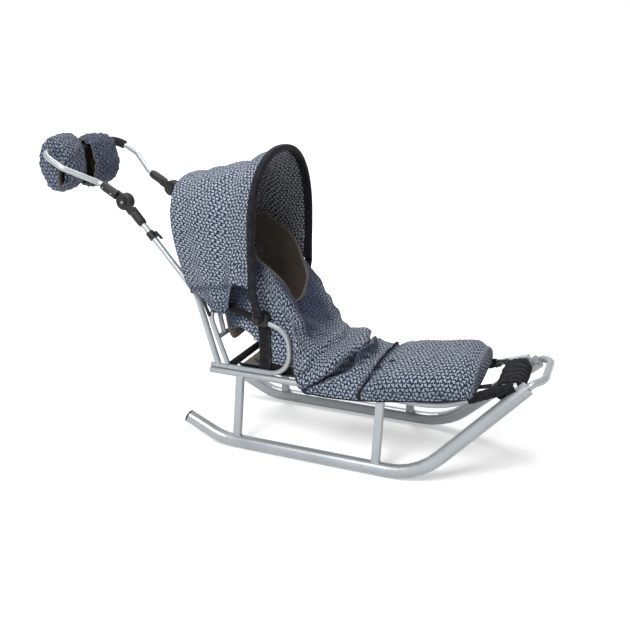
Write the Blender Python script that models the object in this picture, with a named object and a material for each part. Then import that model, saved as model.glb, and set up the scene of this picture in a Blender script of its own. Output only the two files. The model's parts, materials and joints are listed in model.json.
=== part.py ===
# Push sled for a small child: bent-tube runners, a seat on two rails, a swivelling push
# handle with hand muffs, and a quilted sack under a folding hood.
#
# Metres, +Z up, +X towards the curved-up front, +Y to the sled's left.
# The origin is on the ground, under the middle of the whole length.

import math

import bmesh
import bpy
import numpy as np
from mathutils import Matrix, Vector

for old in list(bpy.data.objects):
    bpy.data.objects.remove(old, do_unlink=True)

# Clearances
seat_gap = 0.0003            # between pieces that touch
pin_gap = 0.0004             # round a pin that turns

# Runners, the large tubes that slide
runner_radius = 0.021
track_half = 0.190           # runner axis from the middle plane
tail_x = -0.275
tail_z = 0.075
tail_bend_x = -0.155
tail_bend_radius = 0.18
nose_bend_x = 0.474
nose_bend_radius = 0.20
nose_x = 0.755
nose_z = 0.310
nose_half = 0.107
plug_length = 0.007

# Bow, the thin tube that closes the nose
bow_radius = 0.011
bow_x = 0.795
bow_z = 0.328
bow_half = 0.078
bow_stub = 0.016
bow_stub_radius = 0.018
bow_bend_radius = 0.050

# Seat rails and what stands under them
rail_radius = 0.0105
rail_half = 0.155
rail_z = 0.235
rail_rear_x = -0.211
rail_bend_x = 0.530
rail_bend_radius = 0.30
rail_nose_x = 0.727
rail_nose_half = 0.117
rail_nose_z = 0.315
upright_depth = 0.025        # along the sled
upright_width = 0.020        # across the sled
upright_corner = 0.004
upright_rear_x = -0.107
upright_front_x = 0.349
cross_radius = 0.008
cross_offset = 0.022         # cross tubes sit this far inside the uprights
nose_cross_x = 0.690
seat_bar_x = -0.140
seat_bar_radius = 0.0115
seat_bar_z = 0.259

# Seat board, bent to follow the rails
board_thickness = 0.006
board_rear_x = -0.118
board_front_x = 0.600
board_half = 0.142
board_front_half = 0.122
board_taper_x = 0.474        # the board narrows from here on
board_edge = 0.0025          # corners of the board's edges

# Side loops, which are armrests and carry the hood
loop_radius = 0.008
loop_rear_x = -0.207
loop_front_x = 0.060
loop_front_top = 0.394
loop_foot_x = -0.150
loop_corner_x = -0.2285
loop_corner_z = 0.4737
loop_front_bend = 0.066
loop_rear_bend = 0.045
loop_foot_gap = 0.0006       # between the rear leg's foot and the loop's lower run

# Backrest
back_cross_z = 0.345
back_top_z = 0.728
back_recline = math.radians(11.9)
back_frame_radius = 0.008
back_frame_half = 0.112
back_bend_radius = 0.055
back_pad_thickness = 0.034
back_pad_half = 0.132
back_pad_low = 0.318
back_pad_high = 0.742
back_pad_edge = 0.014        # radius of the pad's edges
back_pad_top_share = 0.75    # width of the pad's top edge as a share of the pad's

# Push handle
handle_radius = 0.010
handle_foot_x = -0.182
handle_bend = (-0.2555, 0.478)
handle_bend_radius = 0.10
pivot_x = -0.499
pivot_z = 0.744
pivot_half = 0.137
bar_radius = 0.009
bar_angle = math.radians(29.5)
bar_reach = 0.293
bar_half = 0.200
bar_flare_end = 0.088        # the legs are parallel again this far before the crossbar
bar_flare_radius = 0.035
bar_corner_radius = 0.042

# Swivels between the lower tubes and the handle bar
disc_radius = 0.026
disc_thickness = 0.014
disc_split = 0.0005          # half the running gap between the two discs
socket_radius = 0.0150
socket_start = 0.0315
socket_end = 0.092
socket_chamfer = 0.003
socket_taper = 0.012         # length of the socket's narrower mouth
socket_floor = 0.0055        # wall at the closed end of a socket
tube_stop = 0.006            # the tube's end from the socket's start
bar_straight = 0.012         # straight run of the bar past its socket
neck_width = 0.026
neck_start = 0.004
neck_overlap = 0.012         # the neck runs this far into the socket
neck_inset = 0.0006          # each cheek of the neck stands back from the disc's face
pin_radius = 0.0040
knob_radius = 0.0125
knob_height = 0.0055
collar_radius = 0.0135
collar_length = 0.026
collar_from_pivot = 0.135
lever_length = 0.034
lever_rise = 0.011           # the lever's tip from the collar
lever_knee = 0.008
lever_back = 0.004
lever_width = 0.012
lever_thickness = 0.0044
lever_root = 0.0018          # the lever starts this far outside the tube

# Grips and hand muffs on the bar
grip_radius = 0.0150
grip_inner = 0.012           # inner end from the middle plane
grip_outer = {"right": 0.150, "left": 0.215}
muff_span = {"right": (0.030, 0.160), "left": (-0.016, 0.102)}   # ends from the middle plane, outwards
muff_depth = 0.0655          # half of the front to back size
muff_height = 0.088          # half of the height
muff_wall = 0.008
muff_forward = 0.0135        # muff middle ahead of the bar
muff_drop = {"right": 0.042, "left": 0.049}                    # muff middle below the bar
muff_end_reach = 0.010       # the muff's room is cut this far past its ends
muff_web_length = 0.060
muff_web_thickness = 0.004

# Hood
hinge_x = -0.030
hinge_above_loop = 0.010
hinge_length = 0.050
hinge_height = 0.040
hinge_width = 0.026
hinge_corner = 0.009
hinge_drop = 0.004           # the clamp's middle below its pin
hinge_pin_root = 0.004       # the pin starts this far inside the clamp
hinge_pin_length = 0.0175
hinge_head_radius = 0.009
hinge_head_height = 0.004
hoop_eye_radius = 0.013
hoop_side_gap = 0.001        # between the clamp and the hoop's eye
hoop_thickness = 0.009
hoop_width = 0.026
hoop_half = 0.212
hoop_top = 0.910
hoop_spread_z = 0.520        # height where the hoop reaches its full width
hoop_straight = 0.150        # straight sides above that, up to the round top
rear_hoop_radius = 0.005
rear_hoop_half = 0.188
rear_hoop_lean = math.radians(14.5)
rear_hoop_x = -0.207
rear_hoop_z = 0.440
rear_hoop_top = 0.812
rear_foot_z = 0.416
rear_foot_bite = 0.0015      # the hoop's foot is flattened this much against the side loop
rear_straight = 0.082        # straight sides above its spread
rear_spread = 0.09           # the hoop reaches its full width this far above rear_hoop_z
hood_wall = 0.005
hood_behind = 0.036          # the fabric's rear corner behind the rear hoop
hood_rear_lift = 0.022       # the fabric's rear line is set out this far above rear_hoop_z
hood_foot_inset = 0.010      # the fabric's lower edges are drawn in this much
hood_spread = 0.06           # and reach the full width this far up
hood_foot_reach = 0.03       # the hood's room is cut this far past its lower and front edges
hood_front_reach = 0.01

# Sack that holds seat and legs
sack_wall = 0.007
sack_corner = 0.018          # bottom edges
sack_side_low = 0.002        # least straight side between the bottom edge and the round top
sack_lean_z = 0.25           # the leaning rear stations give their x at this height
sack_v_half = 0.1345
sack_v_low = 0.446
sack_v_high = 0.630
sack_cut_reach = 0.02        # the sack's room is cut this far past its rear edge
side_cut_lift = 0.005        # the openings at the hips start this far above the sack's floor
side_cut = [(-0.034, 0.335), (-0.108, 0.387), (-0.200, 0.340)]   # x, z of their upper edge
seat_pad_height = 0.030
seat_pad_half = 0.118
seat_pad_rear = -0.098
seat_pad_front = 0.130

# Webbing
strap_thickness = 0.003
strap_width = 0.030
strap_edge = 0.001
side_strap_width = 0.042
side_strap_x = -0.026
side_strap_drop = 0.030      # the strap's top below the hood's pin
toe_strap_gap = 0.003        # between the board's front edge and the strap
toe_strap_half = 0.085
toe_strap_length = 0.048
toe_strap_rise = -0.008
wrap_half_length = 0.040
wrap_half_height = 0.019
wrap_tilt = math.radians(24)
wrap_half = 0.090

sides = {"right": -1, "left": 1}
tube_sides = 16
smooth_angle = math.radians(35)


# Materials

def material(name, colour, roughness, metallic=0.0):
    made = bpy.data.materials.new(name)
    made.use_nodes = True
    shader = made.node_tree.nodes["Principled BSDF"]
    shader.inputs["Base Color"].default_value = (*colour, 1.0)
    shader.inputs["Roughness"].default_value = roughness
    shader.inputs["Metallic"].default_value = metallic
    made.diffuse_color = (*colour, 1.0)
    return made


silver = material("silver_paint", (0.56, 0.58, 0.60), 0.35, 0.6)
black_plastic = material("black_plastic", (0.025, 0.025, 0.028), 0.45)
black_webbing = material("black_webbing", (0.018, 0.018, 0.022), 0.85)
black_foam = material("black_foam", (0.02, 0.02, 0.02), 0.95)
navy_print = material("navy_print", (0.14, 0.16, 0.24), 0.9)
brown_fleece = material("brown_fleece", (0.09, 0.07, 0.05), 1.0)
board_black = material("seat_board", (0.03, 0.03, 0.03), 0.7)


# Building helpers

def add_object(name, mesh, surface, origin=(0, 0, 0)):
    """One solid. A moving piece gets its origin on the axis that it turns about."""
    mesh.materials.clear()
    mesh.materials.append(surface)
    mesh.shade_smooth()
    mesh.set_sharp_from_angle(angle=smooth_angle)
    mesh.transform(Matrix.Translation(-Vector(origin)))
    made = bpy.data.objects.new(name, mesh)
    made.location = origin
    bpy.context.collection.objects.link(made)
    return made


def mesh_from(vertices, faces, name="shape"):
    mesh = bpy.data.meshes.new(name)
    mesh.from_pydata([tuple(v) for v in vertices], [], faces)
    work = bmesh.new()
    work.from_mesh(mesh)
    bmesh.ops.recalc_face_normals(work, faces=work.faces)
    work.to_mesh(mesh)
    work.free()
    return mesh


def bent(points, radii, step=math.radians(11)):
    """Points joined by straight runs, each inner corner rounded by an arc of its radius."""
    points = [Vector(p) for p in points]
    path = [points[0]]
    for before, corner, after, radius in zip(points, points[1:], points[2:], radii):
        to_before = (before - corner).normalized()
        to_after = (after - corner).normalized()
        turn = math.pi - to_before.angle(to_after)
        reach = radius * math.tan(turn / 2)
        middle = corner + (to_before + to_after).normalized() * (radius / math.cos(turn / 2))
        start = corner + to_before * reach - middle
        finish = corner + to_after * reach - middle
        count = max(2, math.ceil(turn / step))
        for i in range(count + 1):
            share = i / count
            arm = (start * math.sin((1 - share) * turn) + finish * math.sin(share * turn)) / math.sin(turn)
            path.append(middle + arm)
    path.append(points[-1])
    return path


def frames_along(path, first_side=None):
    """Side and up vectors for each path point, carried along without twist."""
    tangents = []
    for i in range(len(path)):
        before = path[max(i - 1, 0)]
        after = path[min(i + 1, len(path) - 1)]
        ahead = (path[min(i + 1, len(path) - 1)] - path[i]).normalized()
        behind = (path[i] - path[max(i - 1, 0)]).normalized()
        inner = 0 < i < len(path) - 1
        tangents.append((ahead + behind).normalized() if inner else (after - before).normalized())
    side = Vector(first_side) if first_side else Vector((0, 1, 0))
    frames = []
    for tangent in tangents:
        side = (side - tangent * side.dot(tangent)).normalized()
        frames.append((side.copy(), tangent.cross(side)))
    return frames


def sweep(path, section, first_side=None):
    """Closed solid of a flat outline carried along a path. The outline is (side, up) pairs."""
    frames = frames_along(path, first_side)
    count = len(section)
    vertices = []
    for point, (side, up) in zip(path, frames):
        vertices += [point + side * a + up * b for a, b in section]
    faces = [list(range(count)), list(range(len(vertices) - count, len(vertices)))]
    for ring in range(len(path) - 1):
        low = ring * count
        for i in range(count):
            j = (i + 1) % count
            faces.append([low + i, low + j, low + count + j, low + count + i])
    return mesh_from(vertices, faces)


def sleeve(path, outer, inner, first_side=None):
    """Closed tube wall between two outlines of equal count, open at both ends."""
    frames = frames_along(path, first_side)
    count = len(outer)
    vertices = []
    for point, (side, up) in zip(path, frames):
        vertices += [point + side * a + up * b for a, b in outer]
        vertices += [point + side * a + up * b for a, b in inner]
    faces = []
    ring_size = 2 * count
    for ring in range(len(path) - 1):
        low = ring * ring_size
        for i in range(count):
            j = (i + 1) % count
            for shift in (0, count):
                a = low + shift
                faces.append([a + i, a + j, a + ring_size + j, a + ring_size + i])
    for low in (0, (len(path) - 1) * ring_size):
        for i in range(count):
            j = (i + 1) % count
            faces.append([low + i, low + j, low + count + j, low + count + i])
    return mesh_from(vertices, faces)


def loft(rings):
    """Closed solid through rings of equal count, with flat ends."""
    count = len(rings[0])
    vertices = [Vector(p) for ring in rings for p in ring]
    faces = [list(range(count)), list(range(len(vertices) - count, len(vertices)))]
    for ring in range(len(rings) - 1):
        low = ring * count
        for i in range(count):
            j = (i + 1) % count
            faces.append([low + i, low + j, low + count + j, low + count + i])
    return mesh_from(vertices, faces)


def circle(radius, count=tube_sides):
    return [(radius * math.cos(2 * math.pi * i / count), radius * math.sin(2 * math.pi * i / count))
            for i in range(count)]


def ellipse(half_a, half_b, count=24):
    return [(half_a * math.cos(2 * math.pi * i / count), half_b * math.sin(2 * math.pi * i / count))
            for i in range(count)]


def squared(half_a, half_b, power, turn=0.0, count=24):
    """Outline between an ellipse and a rectangle, its points at even angles, then turned."""
    outline = []
    for i in range(count):
        angle = 2 * math.pi * i / count
        total = abs(math.cos(angle) / half_a) ** power + abs(math.sin(angle) / half_b) ** power
        reach = total ** (-1 / power)
        outline.append((reach * math.cos(angle + turn), reach * math.sin(angle + turn)))
    return outline


def rounded(half_a, half_b, corner, steps=3):
    """Rectangle outline with round corners."""
    outline = []
    for quarter, (sa, sb) in enumerate([(1, 1), (-1, 1), (-1, -1), (1, -1)]):
        for i in range(steps + 1):
            angle = math.pi / 2 * (quarter + i / steps)
            outline.append((sa * (half_a - corner) + corner * math.cos(angle),
                            sb * (half_b - corner) + corner * math.sin(angle)))
    return outline


def turned(profile, axis_point, axis, count=20):
    """Solid of revolution. The profile is (distance along the axis, radius) pairs."""
    axis = Vector(axis).normalized()
    side = axis.orthogonal().normalized()
    up = axis.cross(side)
    rings = []
    for along, radius in profile:
        centre = Vector(axis_point) + axis * along
        rings.append([centre + side * a + up * b for a, b in circle(radius, count)])
    return loft(rings)


def boolean(target, other, operation):
    other.hide_render = True
    other.hide_set(True)
    other.display_type = "WIRE"
    step = target.modifiers.new(operation.lower(), "BOOLEAN")
    step.operation = operation
    step.object = other
    step.solver = "EXACT"
    return step


def cutter(name, mesh):
    made = bpy.data.objects.new(name, mesh)
    bpy.context.collection.objects.link(made)
    made.hide_render = True
    made.hide_set(True)
    made.display_type = "WIRE"
    return made


def mirrored(points, side):
    """The same points on the right (-1) or left (1) side."""
    return [Vector((p[0], p[1] * side, p[2])) for p in points]


# Runners

def runner_path(side):
    points = [(tail_x, track_half, tail_z), (tail_bend_x, track_half, runner_radius),
              (nose_bend_x, track_half, runner_radius), (nose_x, nose_half, nose_z)]
    return bent(mirrored(points, side), [tail_bend_radius, nose_bend_radius])


def rail_path(side):
    points = [(rail_rear_x, rail_half, rail_z), (rail_bend_x, rail_half, rail_z),
              (rail_nose_x, rail_nose_half, rail_nose_z)]
    return bent(mirrored(points, side), [rail_bend_radius], math.radians(5))


def path_at_x(path, x):
    """Point of a path, which runs forward, at one x."""
    for low, high in zip(path, path[1:]):
        if low.x <= x <= high.x:
            return low.lerp(high, (x - low.x) / (high.x - low.x))
    return path[-1].copy() if x > path[-1].x else path[0].copy()


runner_cutters = {}
rail_cutters = {}
for side_name, side in sides.items():
    path = runner_path(side)
    add_object("runner_" + side_name, sweep(path, circle(runner_radius, 20)), silver)
    runner_cutters[side_name] = cutter("runner_room_" + side_name,
                                       sweep(path, circle(runner_radius + seat_gap, 20)))
    tail_way = (path[0] - path[1]).normalized()
    plug = turned([(seat_gap, runner_radius), (plug_length * 0.6, runner_radius),
                   (plug_length, runner_radius * 0.82)], path[0], tail_way, 20)
    add_object("runner_plug_" + side_name, plug, black_plastic)

    path = rail_path(side)
    rail = add_object("seat_rail_" + side_name, sweep(path, circle(rail_radius)), silver)
    boolean(rail, runner_cutters[side_name], "DIFFERENCE")
    rail_cutters[side_name] = cutter("rail_room_" + side_name,
                                     sweep(path, circle(rail_radius + seat_gap)))

    # Uprights lean inwards from the runner to the rail
    for place, x in {"rear": upright_rear_x, "front": upright_front_x}.items():
        axis = [Vector((x, side * track_half, runner_radius)), Vector((x, side * rail_half, rail_z))]
        section = rounded(upright_width / 2, upright_depth / 2, upright_corner)
        upright = add_object("upright_" + place + "_" + side_name, sweep(axis, section), silver)
        boolean(upright, runner_cutters[side_name], "DIFFERENCE")
        boolean(upright, rail_cutters[side_name], "DIFFERENCE")

# Bow
right_nose = runner_path(1)
nose_way = (right_nose[-1] - right_nose[-2]).normalized()
bow_start = right_nose[-1] + nose_way * seat_gap
bow_points = [bow_start, bow_start + nose_way * bow_stub, Vector((bow_x, bow_half, bow_z))]
bow_points += [Vector((p.x, -p.y, p.z)) for p in reversed(bow_points)]
bow_bends = [bow_stub_radius, bow_bend_radius, bow_bend_radius, bow_stub_radius]
bow_path = bent(bow_points, bow_bends, math.radians(16))
add_object("nose_bow", sweep(bow_path, circle(bow_radius), (0, 0, 1)), silver)

# Cross tubes between the rails
nose_cross_z = path_at_x(rail_path(1), nose_cross_x).z
for name, x in {"cross_tube_rear": upright_rear_x + cross_offset,
                "cross_tube_front": upright_front_x - cross_offset,
                "cross_tube_nose": nose_cross_x}.items():
    ends = [path_at_x(rail_path(side), x) for side in (-1, 1)]
    tube = add_object(name, sweep(ends, circle(cross_radius), (1, 0, 0)), silver)
    for room in rail_cutters.values():
        boolean(tube, room, "DIFFERENCE")

# Seat board
board_lift = cross_radius + seat_gap + board_thickness / 2
bed_x = np.array([board_rear_x, 0.44, 0.49, 0.54, 0.59, 0.64])
bed_heights = np.array([path_at_x(rail_path(1), x).z for x in bed_x])


def bed_z(x):
    """Height of the line that the board and the sack follow, level with the rails' axes."""
    return float(np.interp(x, bed_x, bed_heights))


def board_half_at(x):
    share = min(max((x - board_taper_x) / (board_front_x - board_taper_x), 0), 1)
    return board_half + (board_front_half - board_half) * share


board_rings = []
for x in [x for x in bed_x if x < board_front_x] + [board_front_x]:
    outline = rounded(board_half_at(x), board_thickness / 2, board_edge, 2)
    board_rings.append([(x, a, bed_z(x) + board_lift + b) for a, b in outline])
add_object("seat_board", loft(board_rings), board_black)

# Side loops
loop_z = rail_z + rail_radius + loop_radius + seat_gap


def loop_path(side):
    points = [(loop_rear_x, rail_half, loop_z), (loop_front_x, rail_half, loop_z),
              (loop_front_x, rail_half, loop_front_top), (loop_corner_x, rail_half, loop_corner_z),
              (loop_foot_x, rail_half, loop_z + loop_radius + loop_foot_gap)]
    return bent(mirrored(points, side), [loop_front_bend, loop_front_bend, loop_rear_bend], math.radians(15))


loop_cutters = {}
for side_name, side in sides.items():
    path = loop_path(side)
    add_object("side_loop_" + side_name, sweep(path, circle(loop_radius, 12)), silver)
    loop_cutters[side_name] = cutter("loop_room_" + side_name,
                                     sweep(path, circle(loop_radius + seat_gap, 12)))

# Seat bar between the loops' lower legs, behind the board
seat_bar_reach = rail_half - loop_radius - seat_gap
seat_bar_ends = [Vector((seat_bar_x, side * seat_bar_reach, seat_bar_z)) for side in (-1, 1)]
add_object("seat_bar", sweep(seat_bar_ends, circle(seat_bar_radius), (1, 0, 0)), black_webbing)


# Backrest frame, on a cross tube between the loops' rear legs

def loop_leg_x(z):
    share = (z - loop_z) / (loop_corner_z - loop_z)
    return loop_foot_x + (loop_corner_x - loop_foot_x) * share


back_cross_x = loop_leg_x(back_cross_z)
back_way = Vector((-math.sin(back_recline), 0, math.cos(back_recline)))
back_normal = Vector((math.cos(back_recline), 0, math.sin(back_recline)))
cross_ends = [Vector((back_cross_x, side * rail_half, back_cross_z)) for side in (-1, 1)]
back_cross = add_object("back_cross_tube", sweep(cross_ends, circle(cross_radius, 12), (1, 0, 0)), silver)
for room in loop_cutters.values():
    boolean(back_cross, room, "DIFFERENCE")

back_length = (back_top_z - back_cross_z) / math.cos(back_recline)
foot = Vector((back_cross_x, 0, back_cross_z))
across = Vector((0, back_frame_half, 0))
back_points = [foot - across, foot - across + back_way * back_length,
               foot + across + back_way * back_length, foot + across]
back_path = bent(back_points, [back_bend_radius, back_bend_radius], math.radians(15))
back_frame = add_object("back_frame", sweep(back_path, circle(back_frame_radius, 12)), silver)
cross_room = cutter("back_cross_room", sweep(cross_ends, circle(cross_radius + seat_gap, 12), (1, 0, 0)))
boolean(back_frame, cross_room, "DIFFERENCE")


# Back pad in front of the frame

def back_line_x(z, forward):
    """x of the line parallel to the backrest, at a height, a distance ahead of its axis."""
    return back_cross_x - (z - back_cross_z) * math.tan(back_recline) + forward / math.cos(back_recline)


pad_behind = back_frame_radius + seat_gap * 3
pad_rings = []
for share, pinch in [(0.0, 0.55), (0.015, 0.86), (0.05, 1.0), (0.94, 1.0), (0.975, 0.93), (1.0, 0.78)]:
    z = back_pad_low + (back_pad_high - back_pad_low) * share
    narrowing = (1 - back_pad_top_share) * (1 - pinch)
    half = back_pad_half * (1.0 if share < 0.5 else 1 - narrowing)
    thick = back_pad_thickness / 2 * pinch
    middle = pad_behind + back_pad_thickness / 2
    ring = []
    for a, b in rounded(half, thick, min(back_pad_edge, thick * 0.9), 3):
        centre = Vector((back_line_x(z, middle), 0, z))
        ring.append(centre + Vector((0, a, 0)) + back_normal * b)
    pad_rings.append(ring)
add_object("back_pad", loft(pad_rings), brown_fleece)

# Lower tubes of the push handle
handle_paths = {}
pivots = {}
for side_name, side in sides.items():
    bend_share = (handle_bend[1] - loop_z) / (pivot_z - loop_z)
    bend_half = rail_half + (pivot_half - rail_half) * bend_share
    points = [(handle_foot_x, rail_half, loop_z), (handle_bend[0], bend_half, handle_bend[1]),
              (pivot_x, pivot_half, pivot_z)]
    path = bent(mirrored(points, side), [handle_bend_radius], math.radians(8))
    way = (path[-2] - path[-1]).normalized()
    pivot = path[-1].copy()
    pivots[side_name] = pivot
    handle_paths[side_name] = (path, way)
    path = path[:-1] + [pivot + way * (socket_start + tube_stop)]
    lower = add_object("handle_tube_" + side_name, sweep(path, circle(handle_radius)), silver)
    leg = [Vector((loop_rear_x - 0.02, side * rail_half, loop_z)), Vector((0, side * rail_half, loop_z))]
    room = cutter("loop_leg_room_" + side_name, sweep(leg, circle(loop_radius + seat_gap, 12)))
    boolean(lower, room, "DIFFERENCE")

# Handle bar: legs run straight, flare outwards and turn into the crossbar
bar_way = Vector((-math.cos(bar_angle), 0, math.sin(bar_angle)))


def bar_points():
    start = Vector((pivot_x, pivot_half, pivot_z))
    half = [start + bar_way * (socket_start + tube_stop), start + bar_way * (socket_end + bar_straight),
            Vector((pivot_x, bar_half, pivot_z)) + bar_way * (bar_reach - bar_flare_end),
            Vector((pivot_x, bar_half, pivot_z)) + bar_way * bar_reach]
    return half + [Vector((p.x, -p.y, p.z)) for p in reversed(half)]


bar_bends = [bar_flare_radius] * 2 + [bar_corner_radius] * 2 + [bar_flare_radius] * 2
bar_path = bent(bar_points(), bar_bends, math.radians(15))
handle_axis = Vector((pivot_x, 0, pivot_z))
add_object("handle_bar", sweep(bar_path, circle(bar_radius), (0, 0, 1)), silver, handle_axis)
crossbar = Vector((pivot_x, 0, pivot_z)) + bar_way * bar_reach


# Swivels

def swivel_half(name, pivot, way, disc_side, bore, origin=(0, 0, 0)):
    """Disc on one side of the split, a neck on that side and a round socket for a tube."""
    inner = disc_side * disc_split
    outer = disc_side * (disc_split + disc_thickness)
    disc = turned([(inner, disc_radius), (outer * 0.9, disc_radius), (outer, disc_radius * 0.92)],
                  pivot, (0, 1, 0), 24)
    half = add_object(name, disc, black_plastic, origin)
    middle = Vector((0, disc_side * (disc_split + disc_thickness / 2), 0))
    neck_path = [pivot + middle + way * neck_start, pivot + middle + way * (socket_start + neck_overlap)]
    neck_outline = rounded(disc_thickness / 2 - neck_inset, neck_width / 2, socket_chamfer, 2)
    neck = sweep(neck_path, neck_outline, (0, 1, 0))
    boolean(half, cutter(name + "_neck", neck), "UNION")
    profile = [(socket_start, socket_radius - socket_chamfer / 2),
               (socket_start + socket_chamfer, socket_radius),
               (socket_end - socket_taper, socket_radius),
               (socket_end, socket_radius * 0.86)]
    socket = turned(profile, pivot, way, 20)
    boolean(half, cutter(name + "_socket", socket), "UNION")
    bore = bore + seat_gap
    hole = turned([(socket_start + socket_floor, bore), (socket_end + socket_taper, bore)],
                  pivot, way, tube_sides)
    boolean(half, cutter(name + "_bore", hole), "DIFFERENCE")
    past = 2 * disc_thickness
    pin_hole = turned([(-past, pin_radius + pin_gap), (past, pin_radius + pin_gap)], pivot, (0, 1, 0), 16)
    boolean(half, cutter(name + "_pin_hole", pin_hole), "DIFFERENCE")
    return half


for side_name, side in sides.items():
    pivot = pivots[side_name]
    path, way = handle_paths[side_name]
    swivel_half("swivel_lower_" + side_name, pivot, way, side, handle_radius)
    swivel_half("swivel_upper_" + side_name, pivot, bar_way, -side, bar_radius, handle_axis)
    face = disc_split + disc_thickness + seat_gap
    pin = turned([(-face - knob_height, knob_radius * 0.8), (-face - knob_height * 0.5, knob_radius),
                  (-face, knob_radius), (-face, pin_radius), (face, pin_radius), (face, knob_radius),
                  (face + knob_height * 0.5, knob_radius), (face + knob_height, knob_radius * 0.8)],
                 pivot, (0, 1, 0), 16)
    add_object("swivel_knob_" + side_name, pin, black_plastic)

    # Collar with a small lever below the swivel
    centre = pivot + way * collar_from_pivot
    ends = [centre - way * collar_length / 2, centre + way * collar_length / 2]
    collar = add_object("handle_collar_" + side_name,
                        sleeve(ends, circle(collar_radius), circle(handle_radius + seat_gap)), black_plastic)
    lever_way = way.cross(Vector((0, 1, 0))).normalized()
    lever_start = centre + lever_way * (handle_radius + lever_root) - way * lever_back
    lever = [lever_start, lever_start + lever_way * lever_knee + way * lever_back,
             lever_start + lever_way * lever_rise + way * lever_length]
    lever_outline = rounded(lever_width / 2, lever_thickness / 2, lever_thickness / 3, 2)
    lever_mesh = sweep(lever, lever_outline, (0, 1, 0))
    boolean(collar, cutter("lever_" + side_name, lever_mesh), "UNION")


# Grips and muffs

def bar_part(side, low, high):
    """The stretch of the bar on one side between two distances from the middle plane."""
    points = [p for p in bar_path if p.y * side > -1e-6]
    points.sort(key=lambda p: (p - crossbar).length)
    kept = [crossbar + Vector((0, side * low, 0))]
    length = 0.0
    last = crossbar.copy()
    for point in points:
        step = (point - last).length
        if length + step > high:
            kept.append(last.lerp(point, (high - length) / step))
            break
        length += step
        if length > low + 0.004:
            kept.append(point.copy())
        last = point
    return kept


for side_name, side in sides.items():
    grip = bar_part(side, grip_inner, grip_outer[side_name])
    add_object("grip_" + side_name,
               sleeve(grip, circle(grip_radius), circle(bar_radius + seat_gap), (0, 0, 1)), black_foam,
               handle_axis)

    # Muff: a hanging oval sleeve round the bar, open at its ends
    muff_inner, muff_outer = muff_span[side_name]
    middle = crossbar + Vector((muff_forward, 0, -muff_drop[side_name]))
    ends = []
    inside = []
    for share, scale in [(0.0, 0.90), (0.12, 0.98), (0.5, 1.0), (0.88, 0.98), (1.0, 0.92)]:
        y = side * (muff_inner + (muff_outer - muff_inner) * share)
        ring = ellipse(muff_depth * scale, muff_height * scale, 24)
        ends.append([middle + Vector((a, y, b)) for a, b in ring])
        hole = ellipse(muff_depth * scale - muff_wall, muff_height * scale - muff_wall, 24)
        inside.append([middle + Vector((a, y, b)) for a, b in hole])
    inside[0] = [p - Vector((0, side * muff_end_reach, 0)) for p in inside[0]]
    inside[-1] = [p + Vector((0, side * muff_end_reach, 0)) for p in inside[-1]]
    muff = add_object("muff_" + side_name, loft(ends), navy_print, handle_axis)
    boolean(muff, cutter("muff_room_" + side_name, loft(inside)), "DIFFERENCE")

    # A sewn web under the roof hangs the muff on the grip
    web_middle = side * (muff_inner + muff_outer) / 2
    web_low = crossbar.z + grip_radius + seat_gap
    web_high = middle.z + muff_height - muff_wall * 0.75
    web_ends = [Vector((crossbar.x, web_middle, z)) for z in (web_low, web_high)]
    web_outline = rounded(muff_web_length / 2, muff_web_thickness / 2, muff_web_thickness / 3, 1)
    web = sweep(web_ends, web_outline, (0, 1, 0))
    boolean(muff, cutter("muff_web_" + side_name, web), "UNION")

# Hood hinges: clamps on the side loops with a pin outwards
loop_top_slope = (loop_corner_z - loop_front_top) / (loop_corner_x - loop_front_x)


def loop_top_z(x):
    return loop_front_top + loop_top_slope * (x - loop_front_x)


hinge_z = loop_top_z(hinge_x) + hinge_above_loop
hoop_y = rail_half + hinge_width / 2 + hoop_thickness / 2 + hoop_side_gap
for side_name, side in sides.items():
    centre = Vector((hinge_x, side * rail_half, hinge_z - hinge_drop))
    ends = [centre - Vector((0, side * hinge_width / 2, 0)), centre + Vector((0, side * hinge_width / 2, 0))]
    body = sweep(ends, rounded(hinge_length / 2, hinge_height / 2, hinge_corner), (1, 0, 0))
    hinge = add_object("hood_hinge_" + side_name, body, black_plastic)
    tilt = math.atan(loop_top_slope)
    way = Vector((math.cos(tilt), 0, math.sin(tilt)))
    on_loop = Vector((hinge_x, side * rail_half, loop_top_z(hinge_x)))
    room_ends = [on_loop - way * hinge_length, on_loop + way * hinge_length]
    room = sweep(room_ends, circle(loop_radius + seat_gap, 12))
    boolean(hinge, cutter("hinge_bore_" + side_name, room), "DIFFERENCE")
    out = side * (hinge_width / 2)
    head = out + side * hinge_pin_length
    pin = turned([(out - side * hinge_pin_root, pin_radius), (head, pin_radius), (head, hinge_head_radius),
                  (head + side * hinge_head_height, hinge_head_radius * 0.83)],
                 Vector((hinge_x, side * rail_half, hinge_z)), (0, 1, 0), 16)
    boolean(hinge, cutter("hinge_pin_" + side_name, pin), "UNION")


# Hood hoops

hoop_shoulder = hoop_top - hoop_spread_z - hoop_straight
rear_spread_z = rear_hoop_z + rear_spread
rear_shoulder = rear_hoop_top - rear_spread_z - rear_straight


def arch(x_at, low_half, low_z, half, spread_z, top_z, shoulder, count=7):
    """Hoop outline from the right foot over the top to the left foot, as points in space."""
    quarter = []
    for i in range(count + 1):
        angle = math.pi / 2 * i / count
        power = 2 / 2.3
        rise = shoulder * math.sin(angle) ** power
        quarter.append((half * math.cos(angle) ** power, top_z - shoulder + rise))
    left = [(low_half, low_z), (half, spread_z)] + quarter
    whole = [(-y, z) for y, z in left] + [(y, z) for y, z in reversed(left[:-1])]
    return [Vector((x_at(z), y, z)) for y, z in whole]


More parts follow.
